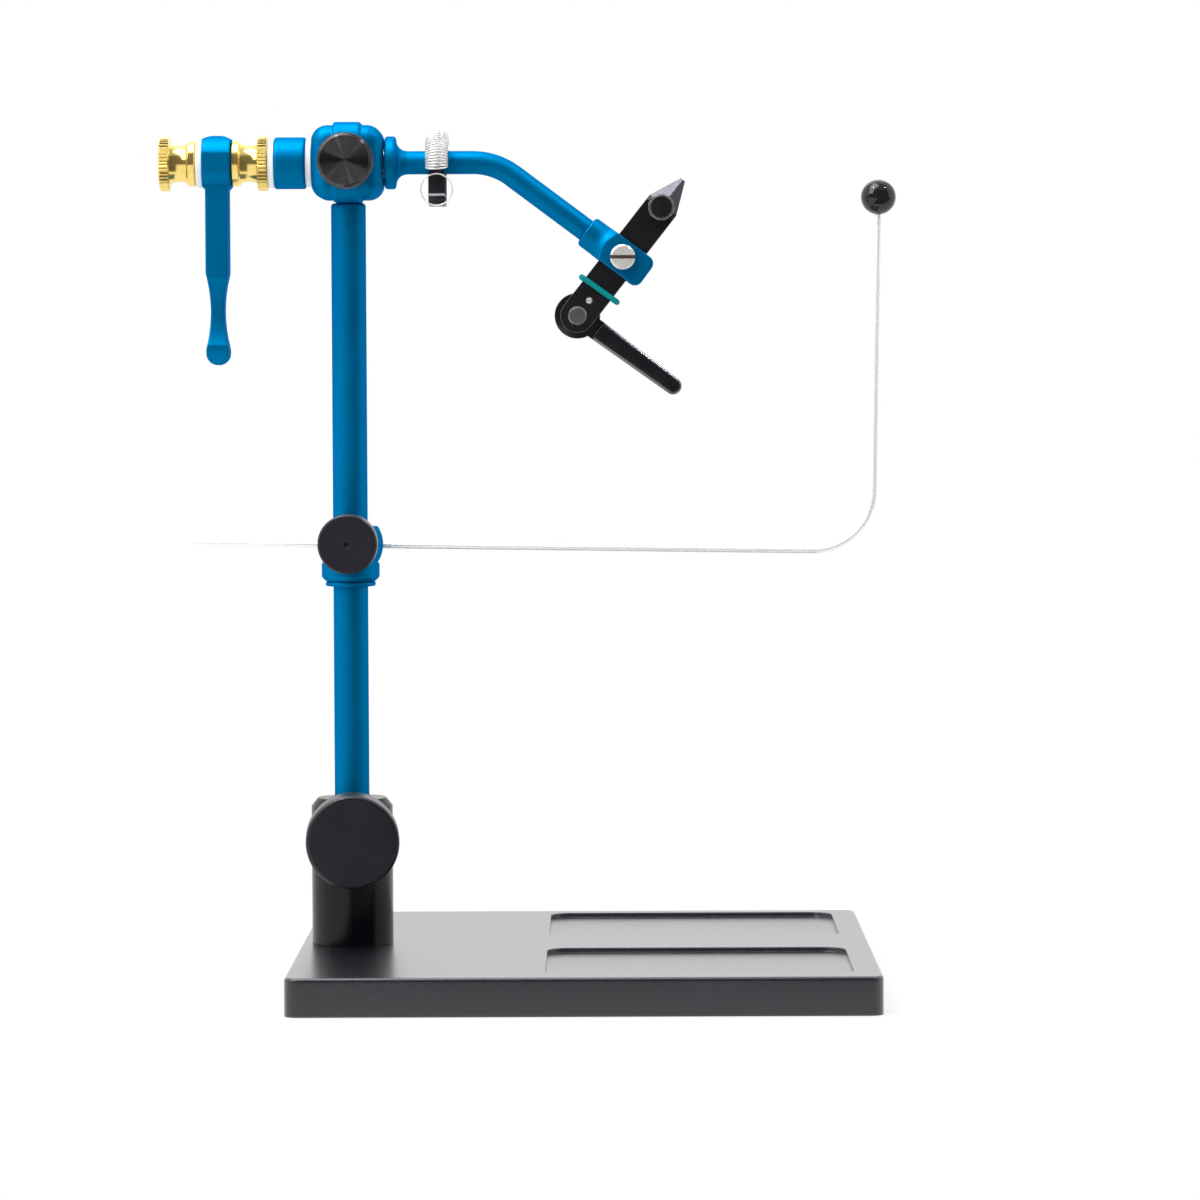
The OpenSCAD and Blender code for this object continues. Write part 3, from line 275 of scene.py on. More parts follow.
def new_group(name, inputs, outputs):
    """A shader node group with named sockets. Returns the tree and its two end nodes."""
    tree = bpy.data.node_groups.new(name, "ShaderNodeTree")
    for label, kind, value in inputs:
        socket = tree.interface.new_socket(label, in_out="INPUT", socket_type=kind)
        socket.default_value = value
    for label, kind in outputs:
        tree.interface.new_socket(label, in_out="OUTPUT", socket_type=kind)
    return tree, tree.nodes.new("NodeGroupInput"), tree.nodes.new("NodeGroupOutput")


grain, start, end = new_group(
    "grain",
    [("Size", FLOAT, 0.2 * MM), ("Broad", FLOAT, 10 * MM)],
    [("Height", FLOAT), ("Tone", FLOAT)],
)
place = add_node(grain, "ShaderNodeTexCoord")
for size, result in (("Size", "Height"), ("Broad", "Tone")):
    noise = add_node(grain, "ShaderNodeTexNoise")
    noise.inputs["Detail"].default_value = GRAIN_DETAIL
    grain.links.new(place.outputs["Object"], noise.inputs["Vector"])
    scale = math_node(grain, "DIVIDE", 1.0, start.outputs[size])
    grain.links.new(scale, noise.inputs["Scale"])
    grain.links.new(noise.outputs["Fac"], end.inputs[result])

# Its Edge output makes edges lighter in the finishes: real wear on some, a painted highlight on others.
worn_and_highlit_edges, start, end = new_group(
    "worn_and_highlit_edges",
    [("Radius", FLOAT, 0.3 * MM)],
    [("Normal", VECTOR), ("Edge", FLOAT)],
)
rounded = add_node(worn_and_highlit_edges, "ShaderNodeBevel", samples=EDGE_SAMPLES)
worn_and_highlit_edges.links.new(start.outputs["Radius"], rounded.inputs["Radius"])
flat = add_node(worn_and_highlit_edges, "ShaderNodeNewGeometry")
dot = add_node(worn_and_highlit_edges, "ShaderNodeVectorMath", operation="DOT_PRODUCT")
worn_and_highlit_edges.links.new(rounded.outputs["Normal"], dot.inputs[0])
worn_and_highlit_edges.links.new(flat.outputs["Normal"], dot.inputs[1])
bent = math_node(worn_and_highlit_edges, "SUBTRACT", 1.0, dot.outputs["Value"])
edge = math_node(worn_and_highlit_edges, "MULTIPLY", bent, EDGE_GAIN, clamp=True)
worn_and_highlit_edges.links.new(edge, end.inputs["Edge"])
worn_and_highlit_edges.links.new(rounded.outputs["Normal"], end.inputs["Normal"])
print("groups:", [g.name for g in bpy.data.node_groups])

# %% [markdown]
# ## Finishes
# Every finish starts from the Principled shader with its constant values on its own sockets. What
# changes over the surface, such as tone, grain and lighter edges (real wear on some finishes, a
# painted highlight on others), comes from the groups. Each material could be wired by hand, but a
# small class keeps the wiring the same in all of them.

# %% Start of every finish
TONE_LOW, TONE_HIGH = 0.3, 0.7


class Finish:
    """A Principled material with the shared effects at hand."""

    def __init__(self, name, metallic, roughness, edge=0.3 * MM, size=0.2 * MM, broad=10 * MM,
                 bump=0.2, depth=0.03 * MM):
        self.material = bpy.data.materials.new(name)
        self.material.use_nodes = True
        self.tree = self.material.node_tree
        self.shader = self.tree.nodes["Principled BSDF"]
        self.constant("Metallic", metallic)
        self.constant("Roughness", roughness)
        self.grain = add_node(self.tree, "ShaderNodeGroup", node_tree=grain)
        self.grain.inputs["Size"].default_value = size
        self.grain.inputs["Broad"].default_value = broad
        self.tone = self.grain.outputs["Tone"]
        self.edges = add_node(self.tree, "ShaderNodeGroup", node_tree=worn_and_highlit_edges)
        self.edges.inputs["Radius"].default_value = edge
        self.bump = add_node(self.tree, "ShaderNodeBump")
        self.bump.inputs["Strength"].default_value = bump
        self.bump.inputs["Distance"].default_value = depth
        self.link(self.grain.outputs["Height"], self.bump.inputs["Height"])
        self.link(self.edges.outputs["Normal"], self.bump.inputs["Normal"])
        self.link(self.bump.outputs["Normal"], self.shader.inputs["Normal"])

    def link(self, source, target):
        """Links two sockets."""
        self.tree.links.new(source, target)

    def constant(self, label, value):
        """Sets one of the shader's own sockets."""
        self.shader.inputs[label].default_value = value

    def place(self):
        """The place on the piece, in the model's frame."""
        return add_node(self.tree, "ShaderNodeTexCoord").outputs["Object"]

    def coordinate(self, letter):
        """One coordinate of the place on the piece."""
        split = add_node(self.tree, "ShaderNodeSeparateXYZ")
        self.link(self.place(), split.inputs[0])
        return split.outputs[letter]

    def between(self, fac, first, second):
        """A colour between two, by a socket. Each is a socket or three numbers."""
        mix = add_node(self.tree, "ShaderNodeMix", data_type="RGBA")
        self.link(fac, mix.inputs["Factor"])
        for socket, value in ((mix.inputs[6], first), (mix.inputs[7], second)):
            if isinstance(value, tuple):
                socket.default_value = (*value, 1)
            else:
                self.link(value, socket)
        return mix.outputs[2]

    def mottled(self, first, second):
        """A colour that drifts between two with the broad tone."""
        return self.between(self.tone, first, second)

    def wear_and_highlight(self, colour, rim):
        """A colour that gives way to another one on the edges."""
        return self.between(self.edges.outputs["Edge"], colour, rim)

    def range(self, value, low, high, to_low=0.0, to_high=1.0):
        """A value brought from one range to another."""
        made = add_node(self.tree, "ShaderNodeMapRange")
        limits = {"From Min": low, "From Max": high, "To Min": to_low, "To Max": to_high}
        for label, number in limits.items():
            made.inputs[label].default_value = number
        self.link(value, made.inputs["Value"])
        return made.outputs["Result"]

    def colour(self, socket):
        """Takes a socket as the base colour."""
        self.link(socket, self.shader.inputs["Base Color"])

    def rough(self, low, high):
        """Roughness that follows the broad tone."""
        spread = self.range(self.tone, TONE_LOW, TONE_HIGH, low, high)
        self.link(spread, self.shader.inputs["Roughness"])


def tell(*finishes):
    """Says which finishes a cell made."""
    print("made", ", ".join(f.material.name for f in finishes))


print("tone is read from", TONE_LOW, "to", TONE_HIGH)

# %% [markdown]
# ### Blue anodised aluminium
# The stem, head, crank and arm are bead blasted and then dyed. The dye sits in a clear skin over
# metal, so the colour is in the reflection: a metallic shader with a fine grain and a broad, soft
# highlight shows that better than paint would.

# %% Blue anodised
blue = Finish("blue_anodised", 0.8, 0.45, edge=0.8 * MM, size=0.16 * MM, broad=20 * MM, bump=0.25)
clear_tone = blue.range(blue.tone, TONE_LOW, TONE_HIGH)
body_blue = blue.between(clear_tone, (0.0, 0.195, 0.435), (0.0, 0.21, 0.465))
# Painted highlight: the edges are coloured a lighter blue.
blue.colour(blue.wear_and_highlight(body_blue, (0.01, 0.27, 0.56)))
blue.constant("Specular Tint", (0.0, 0.42, 0.8, 1))
blue.constant("Specular IOR Level", 0.0)
blue.rough(0.48, 0.56)
tell(blue)

# %% [markdown]
# ### Black plate and post
# The plate is a heavy bar of coated steel. From low down its top mirrors the white tent, so it
# looks pale grey although it is black. Grey paint would look wrong from above: a black shader under
# a clear, slightly rough coat turns pale at a low angle by itself. The post is smoother and darker.

# %% Black plate and post
plate = Finish("base_black", 0.0, 0.4, edge=1.3 * MM, size=0.4 * MM, broad=15 * MM, bump=0.35,
               depth=0.06 * MM)
clear_tone = plate.range(plate.tone, TONE_LOW, TONE_HIGH)
plate_black = plate.between(clear_tone, (0.0045, 0.0045, 0.0105), (0.007, 0.007, 0.0145))
# Painted highlight: the plate's edges are coloured a lighter grey-blue.
plate.colour(plate.wear_and_highlight(plate_black, (0.05, 0.05, 0.065)))
speckle = plate.range(plate.grain.outputs["Height"], 0.35, 0.65, 0.2, 0.38)
plate.link(speckle, plate.shader.inputs["Roughness"])
plate.constant("Coat Roughness", 0.3)
plate.constant("Specular IOR Level", 0.4)
plate.constant("Coat Weight", 1.0)

post = Finish("post_black", 0.0, 0.35, edge=0.4 * MM, bump=0.15)
post_black = post.mottled((0.001, 0.001, 0.0025), (0.0025, 0.0025, 0.005))
post.colour(post.wear_and_highlight(post_black, (0.05, 0.05, 0.056)))
post.constant("Specular IOR Level", 0.3)
post.rough(0.17, 0.25)
tell(plate, post)

# %% [markdown]
# ### Black knobs and strap
# The knobs are turned and blackened, and the strap is a lacquered band with a painted highlight along
# its fold. All are nearly black, so what tells them apart is how wide they spread a highlight. The
# painted highlight could be a second material, but a mask on the height below the arm needs no cut in the mesh.

# %% Black knobs and strap
knob = Finish("knob_black", 0.0, 0.5, size=0.4 * MM, broad=8 * MM, bump=0.25)
knob_black = knob.mottled((0.0065, 0.006, 0.0115), (0.0105, 0.0095, 0.0175))
# Painted highlight: the knobs' edges and rims are coloured lighter.
knob.colour(knob.wear_and_highlight(knob_black, (0.05, 0.05, 0.056)))
knob.constant("Specular IOR Level", 0.55)
knob.rough(0.32, 0.42)

knurl = Finish("knurl_black", 0.0, 0.3, edge=0.15 * MM, size=0.1 * MM, broad=4 * MM, bump=0.1)
knurl_black = knurl.mottled((0.006, 0.006, 0.007), (0.011, 0.011, 0.013))
knurl.colour(knurl.wear_and_highlight(knurl_black, (0.75, 0.75, 0.76)))
knurl.rough(0.26, 0.34)

FOLD_BELOW, FOLD_HALF, FOLD_FADE = 8.75 * MM, 0.15 * MM, 0.4 * MM
strap_finish = Finish("strap_black", 0.0, 0.35, edge=0.2 * MM, broad=3 * MM, bump=0.15)
lacquer = strap_finish.mottled((0.006, 0.006, 0.009), (0.011, 0.011, 0.015))
fold_z = joints["clip_turn"]["pos_m"][2] - FOLD_BELOW
off_fold = math_node(strap_finish.tree, "SUBTRACT", strap_finish.coordinate("Z"), fold_z)
off_fold = math_node(strap_finish.tree, "ABSOLUTE", off_fold)
# Painted highlight: a pale band along the fold where the strap bends.
fold_highlight = strap_finish.range(off_fold, FOLD_HALF, FOLD_FADE, 1, 0)
strap_finish.colour(strap_finish.between(fold_highlight, lacquer, (0.42, 0.42, 0.45)))
strap_finish.rough(0.28, 0.4)
tell(knob, knurl, strap_finish)

# %% [markdown]
# ### Bare metals and nylon
# Steel, brass and the oily bronze of the bushings get their colour from the reflection, so each is a
# metallic shader with a slight change of tone. The spring wire and the rod are polished so bright
# that the tent washes them out. Pure metal would mirror the dark room there, so both are partly
# plain, and their near-white colour is a painted reflection of the white tent. The washers are nylon and stay soft
# and white.

# %% Steel, bronze, brass, wire, rod and nylon
steel = Finish("steel", 1.0, 0.3, edge=0.2 * MM, size=0.12 * MM, broad=4 * MM, bump=0.12)
steel.colour(steel.mottled((0.56, 0.55, 0.53), (0.7, 0.69, 0.67)))
steel.rough(0.22, 0.34)

bronze = Finish("bronze", 1.0, 0.4, bump=0.3)
bronze.colour(bronze.mottled((0.06, 0.04, 0.025), (0.1, 0.065, 0.04)))
bronze.rough(0.5, 0.6)

brass = Finish("brass", 0.9, 0.2, edge=0.2 * MM, size=0.12 * MM, broad=4 * MM, bump=0.1)
brass.colour(brass.mottled((0.93, 0.67, 0.18), (1.0, 0.78, 0.27)))
brass.rough(0.14, 0.22)

# Painted reflection: the wire is coloured near white for the white tent it mirrors.
wire = Finish("spring_wire", 0.45, 0.3, edge=0.1 * MM, size=0.1 * MM, broad=2 * MM, bump=0.05)
wire.colour(wire.mottled((0.88, 0.87, 0.84), (0.95, 0.94, 0.92)))
wire.rough(0.2, 0.3)

# Painted reflection: the rod is coloured near white for the white tent it mirrors.
rod = Finish("rod_steel", 0.35, 0.2, edge=0.2 * MM, broad=6 * MM, bump=0.06)
rod.colour(rod.mottled((0.88, 0.87, 0.87), (0.95, 0.94, 0.94)))
rod.rough(0.12, 0.22)

nylon = Finish("white_nylon", 0.0, 0.45, broad=4 * MM, bump=0.1)
nylon.colour(nylon.mottled((0.78, 0.78, 0.76), (0.86, 0.86, 0.85)))
nylon.rough(0.4, 0.5)
tell(steel, bronze, brass, wire, rod, nylon)

# %% [markdown]
# ### Black oxide jaws, ground bare at the tips
# The jaws are blackened tool steel, and the taper at the tips is ground after that, so it is bare.
# The ground part could be a second material on picked faces, but those are the model's own faces,
# so a mask does it: the distance along the jaws from the cam pin, which the joints give.

# %% Jaws
GROUND_FROM, GROUND_FADE = 37.2 * MM, 0.2 * MM
STREAKS_PER_M = (120, 5000, 5000)
pin = Vector(joints["cam_lever_turn"]["pos_m"])
tilt = Vector(joints["jaw_tilt"]["pos_m"])
along = (tilt - pin).normalized()
jaw = Finish("jaw_black", 0.0, 0.35, edge=0.22 * MM, size=0.15 * MM, broad=5 * MM, bump=0.15)
jaw_place = jaw.place()
reach = add_node(jaw.tree, "ShaderNodeVectorMath", operation="DOT_PRODUCT")
jaw.link(jaw_place, reach.inputs[0])
reach.inputs[1].default_value = along
ground_start = along.dot(pin) + GROUND_FROM
ground = jaw.range(reach.outputs["Value"], ground_start, ground_start + GROUND_FADE)
streaks = add_node(jaw.tree, "ShaderNodeTexNoise")
turn_to_jaw = add_node(jaw.tree, "ShaderNodeMapping")
turn_to_jaw.inputs["Rotation"].default_value = (0, math.atan2(along.z, along.x), 0)
turn_to_jaw.inputs["Scale"].default_value = STREAKS_PER_M
jaw.link(jaw_place, turn_to_jaw.inputs["Vector"])
jaw.link(turn_to_jaw.outputs["Vector"], streaks.inputs["Vector"])
streaks.inputs["Scale"].default_value = 1
oxide = jaw.mottled((0.004, 0.004, 0.0045), (0.009, 0.009, 0.01))
oxide = jaw.wear_and_highlight(oxide, (0.32, 0.32, 0.32))
bare = jaw.between(streaks.outputs["Fac"], (0.11, 0.11, 0.125), (0.27, 0.27, 0.3))
jaw.colour(jaw.between(ground, oxide, bare))
jaw.link(ground, jaw.shader.inputs["Metallic"])
jaw_rough = jaw.range(ground, 0, 1, 0.36, 0.4)
jaw.link(jaw_rough, jaw.shader.inputs["Roughness"])
tell(jaw)

# %% [markdown]
# ### Rubber, pins, lever and ball
# These small pieces each have a finish of their own: matt rubber, a dull pin with a bright rim, a
# bright slotted pin, a polished black lever with a painted highlight on its bevels, and a lacquered
# ball. One black and one steel for all of them would be less work, but side by side they would run together.

# %% Rubber, pins, lever and ball
rubber = Finish("teal_rubber", 0.0, 0.4, edge=0.1 * MM, size=0.3 * MM, broad=3 * MM, bump=0.15)
rubber.colour(rubber.mottled((0.0, 0.185, 0.195), (0.0, 0.245, 0.255)))
rubber.constant("Specular IOR Level", 0.08)
rubber.rough(0.4, 0.5)

dull_pin = Finish("cam_pin_steel", 0.4, 0.35, edge=0.2 * MM, size=0.1 * MM, broad=2 * MM, bump=0.1)
pin_grey = dull_pin.mottled((0.08, 0.08, 0.085), (0.13, 0.13, 0.135))
dull_pin.colour(dull_pin.wear_and_highlight(pin_grey, (0.8, 0.8, 0.8)))

bright_pin = Finish("stop_pin_steel", 0.4, 0.3, edge=0.1 * MM, size=0.1 * MM, broad=1 * MM, bump=0.05)
bright_pin.colour(bright_pin.mottled((0.74, 0.74, 0.74), (0.86, 0.86, 0.86)))

lever_black = Finish("lever_black", 0.0, 0.2, edge=0.2 * MM, broad=6 * MM, bump=0.08)
polished_black = lever_black.mottled((0.006, 0.006, 0.007), (0.012, 0.012, 0.014))
lever_black.colour(lever_black.wear_and_highlight(polished_black, (0.02, 0.02, 0.022)))
lever_black.rough(0.14, 0.24)

# Painted highlight: the bevels get a paler, metallic copy of the lever's black.
lever_bevel_highlight = Finish("lever_bevel_highlight", 0.9, 0.25, edge=0.1 * MM, broad=4 * MM, bump=0.05)
lever_bevel_highlight.colour(lever_bevel_highlight.mottled((0.17, 0.165, 0.19), (0.25, 0.245, 0.275)))
lever_bevel_highlight.rough(0.2, 0.3)

ball_black = Finish("ball_black", 0.0, 0.08, edge=0.1 * MM, size=0.4 * MM, broad=4 * MM, bump=0.03)
ball_black.colour(ball_black.mottled((0.008, 0.008, 0.009), (0.014, 0.014, 0.016)))
ball_black.rough(0.05, 0.1)
tell(rubber, dull_pin, bright_pin, lever_black, lever_bevel_highlight, ball_black)

# %% [markdown]
# ### Turned faces
# A face cut on a lathe has rings round its middle, far finer than a pixel, and they spread a
# highlight into a bow tie. A bump that fine would only flicker, so the shader's own anisotropy
# spreads the highlight, along a tangent that runs round the knob. The pivot screw's slot has
# painted shade in it: the inside of the slot is coloured dark brown.

# %% Turned faces
RING_CONTRAST, QUARTER_TURN = 1.4, 0.25
SLOT_SHADE_FROM, SLOT_SHADE_TO, SLOT_SHADE_FADE = 0.45 * MM, 1.2 * MM, 0.15 * MM


def turned_finish(name, base, rim_highlight_colour, metallic, roughness, spread):
    """A finish for a face turned about an axis along Y through the middle of the piece."""
    made = Finish(name, metallic, roughness, edge=0.15 * MM, size=0.1 * MM, broad=3 * MM, bump=0.05)
    ringed = made.mottled(base, tuple(RING_CONTRAST * c for c in base))
    # Painted highlight: the rim of the turned face is coloured lighter.
    made.colour(made.wear_and_highlight(ringed, rim_highlight_colour))
    made.constant("Anisotropic", spread)
    made.constant("Anisotropic Rotation", QUARTER_TURN)
    round_axis = add_node(made.tree, "ShaderNodeTangent", direction_type="RADIAL", axis="Y")
    made.link(round_axis.outputs["Tangent"], made.shader.inputs["Tangent"])
    return made


head_face = turned_finish(
    "head_knob_face", (0.0006, 0.0006, 0.001), (0.12, 0.12, 0.125), 0.0, 0.36, 1.0
)
head_face.constant("IOR", 2.0)
pivot_face = turned_finish(
    "pivot_screw_face", (0.7, 0.69, 0.65), (0.9, 0.9, 0.88), 0.6, 0.36, 0.6
)
pivot_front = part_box("pivot_screw")[0].y
slot_shade_start = pivot_front + SLOT_SHADE_FROM
slot_shade_end = pivot_front + SLOT_SHADE_TO
pivot_y = pivot_face.coordinate("Y")
# Painted shade: the inside of the slot, behind the face, is coloured dark brown.
past_face = pivot_face.range(pivot_y, slot_shade_start, slot_shade_start + SLOT_SHADE_FADE)
before_seat = pivot_face.range(pivot_y, slot_shade_end, slot_shade_end + SLOT_SHADE_FADE, 1, 0)
in_slot = math_node(pivot_face.tree, "MULTIPLY", past_face, before_seat)
unshaded_face = pivot_face.shader.inputs["Base Color"].links[0].from_socket
pivot_face.colour(pivot_face.between(in_slot, unshaded_face, (0.2, 0.165, 0.145)))
tell(head_face, pivot_face)

# %% [markdown]
# ### Dressing the nodes
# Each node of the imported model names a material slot, as a bill of materials would. A finish could
# be named for every node, but the list by slots is shorter, and only the few nodes that look
# different from the rest of their slot are named one by one.

# %% Give each node its finish
FINISH_OF_SLOT = {
    "base_black": plate,
    "knob_black": knob,
    "knurl_black": knurl,
    "blue_anodised": blue,
    "steel": steel,
    "bronze": bronze,
    "white_nylon": nylon,
    "brass": brass,
    "jaw_black": jaw,
    "teal_rubber": rubber,
    "strap_black": strap_finish,
}
FINISH_OF_NODE = {
    "head_knob": head_face,
    "pivot_screw": pivot_face,
    "cam_pin": dull_pin,
    "cam_lever": lever_black,
    "rod_ball": ball_black,
    "base_post": post,
    "bobbin_rod": rod,
    "clip_loop": wire,
}
for name, shape in nodes.items():
    chosen = FINISH_OF_NODE.get(name) or FINISH_OF_SLOT[slot_of[name]]
    shape.data.materials.clear()
    shape.data.materials.append(chosen.material)
print("dressed", len(nodes), "nodes")

# %% [markdown]
# ## Modelling
# Seven pieces are modelled again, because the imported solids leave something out: the close curls of
# a spring, rounded edges, a slot. Each starts as a primitive, is shaped in edit mode and with
# modifiers, and then takes the place of its solid. A few helpers do what every piece needs.

# %% Helpers for modelling
SMOOTH_BELOW = math.radians(35)
MERGE, NEARLY = 1e-7, 1e-6
FACE_CAMERA = (math.pi / 2, 0, 0)


def fresh():
    """Nothing selected before a new primitive is added."""
    bpy.ops.object.select_all(action="DESELECT")


def section(sides, radius, location, rotation=(0, 0, 0), fill_type="NOTHING"):
    """A circle with its place applied, to draw a piece from."""
    fresh()
    bpy.ops.mesh.primitive_circle_add(
        vertices=sides, radius=radius, fill_type=fill_type, location=location, rotation=rotation
    )
    bpy.ops.object.transform_apply(location=True, rotation=True)
    return bpy.context.object


def box(size, location=(0, 0, 0)):
    """A cube brought to size, with its place applied."""
    fresh()
    bpy.ops.mesh.primitive_cube_add(size=1, location=location)
    bpy.context.object.scale = size
    bpy.ops.object.transform_apply(location=True, scale=True)
    return bpy.context.object


def settle(matrix):
    """Turns the active object by a matrix and applies that."""
    bpy.context.object.matrix_world = matrix
    bpy.ops.object.transform_apply(location=True, rotation=True, scale=True)


def edit_all():
    """Edit mode, with everything selected."""
    bpy.ops.object.mode_set(mode="EDIT")
    bpy.ops.mesh.select_all(action="SELECT")


def leave_edit():
    """Back to object mode."""
    bpy.ops.object.mode_set(mode="OBJECT")


def extrude(x, y, z):
    """Draws the selected faces out."""
    bpy.ops.mesh.extrude_region_move(TRANSFORM_OT_translate={"value": (x, y, z)})


def apply_modifier(kind, **settings):
    """Adds a modifier to the active object and applies it."""
    made = bpy.context.object.modifiers.new(kind.lower(), kind)
    for key, value in settings.items():
        setattr(made, key, value)
    bpy.ops.object.modifier_apply(modifier=made.name)


def close_and_turn_out():
    """Merges doubles, fills open ends and points the faces outward."""
    edit_all()
    bpy.ops.mesh.remove_doubles(threshold=MERGE)
    bpy.ops.mesh.fill_holes(sides=0)
    bpy.ops.mesh.select_all(action="SELECT")
    bpy.ops.mesh.normals_make_consistent(inside=False)
    leave_edit()


def add_piece(name, body, slot, finish, *replaced):
    """Takes the active object as a finished piece: place applied, smooth, riding on its body."""
    piece = bpy.context.object
    piece.name = name
    bpy.ops.object.transform_apply(location=True, rotation=True, scale=True)
    bpy.ops.object.shade_smooth_by_angle(angle=SMOOTH_BELOW)
    if not piece.data.materials:
        piece.data.materials.append(finish.material)
    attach(piece, body)
    if replaced:
        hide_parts(*replaced)
    print(name, len(piece.data.polygons), "faces")
    return piece


def print_box(piece, node):
    """How far the piece's corners are from those of the node it stands for, in millimetres."""
    corners = [Vector(c) for c in piece.bound_box]
    low = [min(c[i] for c in corners) for i in range(3)]
    high = [max(c[i] for c in corners) for i in range(3)]
    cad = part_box(node)
    print(piece.name, "low", [round((low[i] - cad[0][i]) / MM, 2) for i in range(3)],
          "high", [round((high[i] - cad[1][i]) / MM, 2) for i in range(3)])


print("edges are smoothed below", round(math.degrees(SMOOTH_BELOW)), "degrees")

# %% [markdown]
# ## The material clip
# A clip on the arm holds feathers and thread out of the way. On the real one it is a straight
# spring bent round the arm and closed by a black strap. A curve along a formula would do, but the
# maker's own way is easy to follow: wind a straight spring with Screw, then bend it.

# %% Spring
CLIP_CURLS, WIRE_SIDES, CURL_STEPS = 44, 10, 20
COIL_D, WIRE_D, CLIP_SPAN = 6.2 * MM, 0.36 * MM, 210
ARM_R, CLIP_GAP = 3.1 * MM, 0.3 * MM
clip_axis = Vector(joints["clip_turn"]["pos_m"])
coil_mid_r = ARM_R + CLIP_GAP + COIL_D / 2
coil_length = coil_mid_r * math.radians(CLIP_SPAN)
section(WIRE_SIDES, WIRE_D / 2, (0, (COIL_D - WIRE_D) / 2, 0))
apply_modifier(
    "SCREW", axis="X", angle=2 * math.pi, screw_offset=coil_length / CLIP_CURLS,
    iterations=CLIP_CURLS, steps=CURL_STEPS, render_steps=CURL_STEPS,
)
close_and_turn_out()
edit_all()
bpy.ops.transform.translate(value=(-coil_length / 2, 0, 0))
leave_edit()
apply_modifier("SIMPLE_DEFORM", deform_method="BEND", deform_axis="Z", angle=math.radians(CLIP_SPAN))
edit_all()
bpy.ops.transform.translate(value=(0, -coil_mid_r, 0))
bpy.ops.transform.rotate(value=math.pi / 2, orient_axis="X", center_override=(0, 0, 0))
bpy.ops.transform.rotate(value=math.pi / 2, orient_axis="Z", center_override=(0, 0, 0))
bpy.ops.transform.translate(value=clip_axis)
leave_edit()
spring = add_piece("material_clip_spring", "clip", "steel", wire, "clip_spring")
print_box(spring, "clip_spring")

# %% [markdown]
# ### The strap
# A black band hangs under the spring and its two ends run up into the coil. A long box could be
# bent to it, but a spun section keeps its thickness round both corners. So one section is drawn
# up, and its other side is turned a quarter, run across, turned again and drawn up as well.

# %% Strap
STRAP_W, STRAP_T, STRAP_EDGE = 4.5 * MM, 1.0 * MM, 0.28 * MM
TONGUE_W, STRAP_TAPER = 3.0 * MM, 0.15 * MM
STRAP_MID_Y, STRAP_BEND_R, STRAP_BEND_STEPS = 6.25 * MM, 2.5 * MM, 12
STRAP_BEND_Z, STRAP_SHOULDER_Z, TONGUE_Z = -8.6 * MM, -2.3 * MM, -0.6 * MM
strap_corner = STRAP_MID_Y - STRAP_BEND_R


def strap_leg():
    """The selected end of the band goes up to its shoulder, narrows, and runs on as a tongue."""
    extrude(0, 0, STRAP_SHOULDER_Z - STRAP_BEND_Z)
    extrude(0, 0, STRAP_TAPER)
    bpy.ops.transform.resize(value=(TONGUE_W / STRAP_W, 1, 1))
    extrude(0, 0, TONGUE_Z - STRAP_SHOULDER_Z - STRAP_TAPER)


def strap_turn(middle_y):
    """Spins the selected end of the band through a quarter of a circle."""
    bpy.ops.mesh.spin(
        steps=STRAP_BEND_STEPS, angle=math.pi / 2, center=(0, middle_y, STRAP_BEND_Z), axis=(1, 0, 0)
    )


fresh()
bpy.ops.mesh.primitive_plane_add(size=1)
edit_all()
bpy.ops.transform.resize(value=(STRAP_W, STRAP_T, 1))
bpy.ops.mesh.bevel(offset=STRAP_EDGE, segments=3, affect="VERTICES")
bpy.ops.mesh.select_all(action="SELECT")
bpy.ops.transform.translate(value=(0, STRAP_MID_Y, STRAP_BEND_Z))
strap_leg()
bpy.ops.mesh.select_all(action="DESELECT")
leave_edit()
strap = bpy.context.object
for face in strap.data.polygons:
    heights = [strap.data.vertices[v].co.z for v in face.vertices]
    face.select = all(abs(z - STRAP_BEND_Z) < MERGE for z in heights)
bpy.ops.object.mode_set(mode="EDIT")
bpy.ops.mesh.select_mode(type="FACE")
strap_turn(strap_corner)
extrude(0, -2 * strap_corner, 0)
strap_turn(-strap_corner)
strap_leg()
leave_edit()
close_and_turn_out()
edit_all()
bpy.ops.transform.translate(value=clip_axis)
leave_edit()
strap = add_piece("material_clip_strap", "clip", "strap_black", strap_finish, "clip_strap")
print_box(strap, "clip_strap")

# %% [markdown]
# ## The jaw ring
# A rubber ring is rolled over both jaws near the cam. It pulls them together there, which opens the
# tips when the cam lets go. Stretched round a flat bar it is four straight runs and four turns. A
# torus could be pulled to that shape, but its cord would change in thickness, so a round section
# is drawn along each run and spun at each turn.

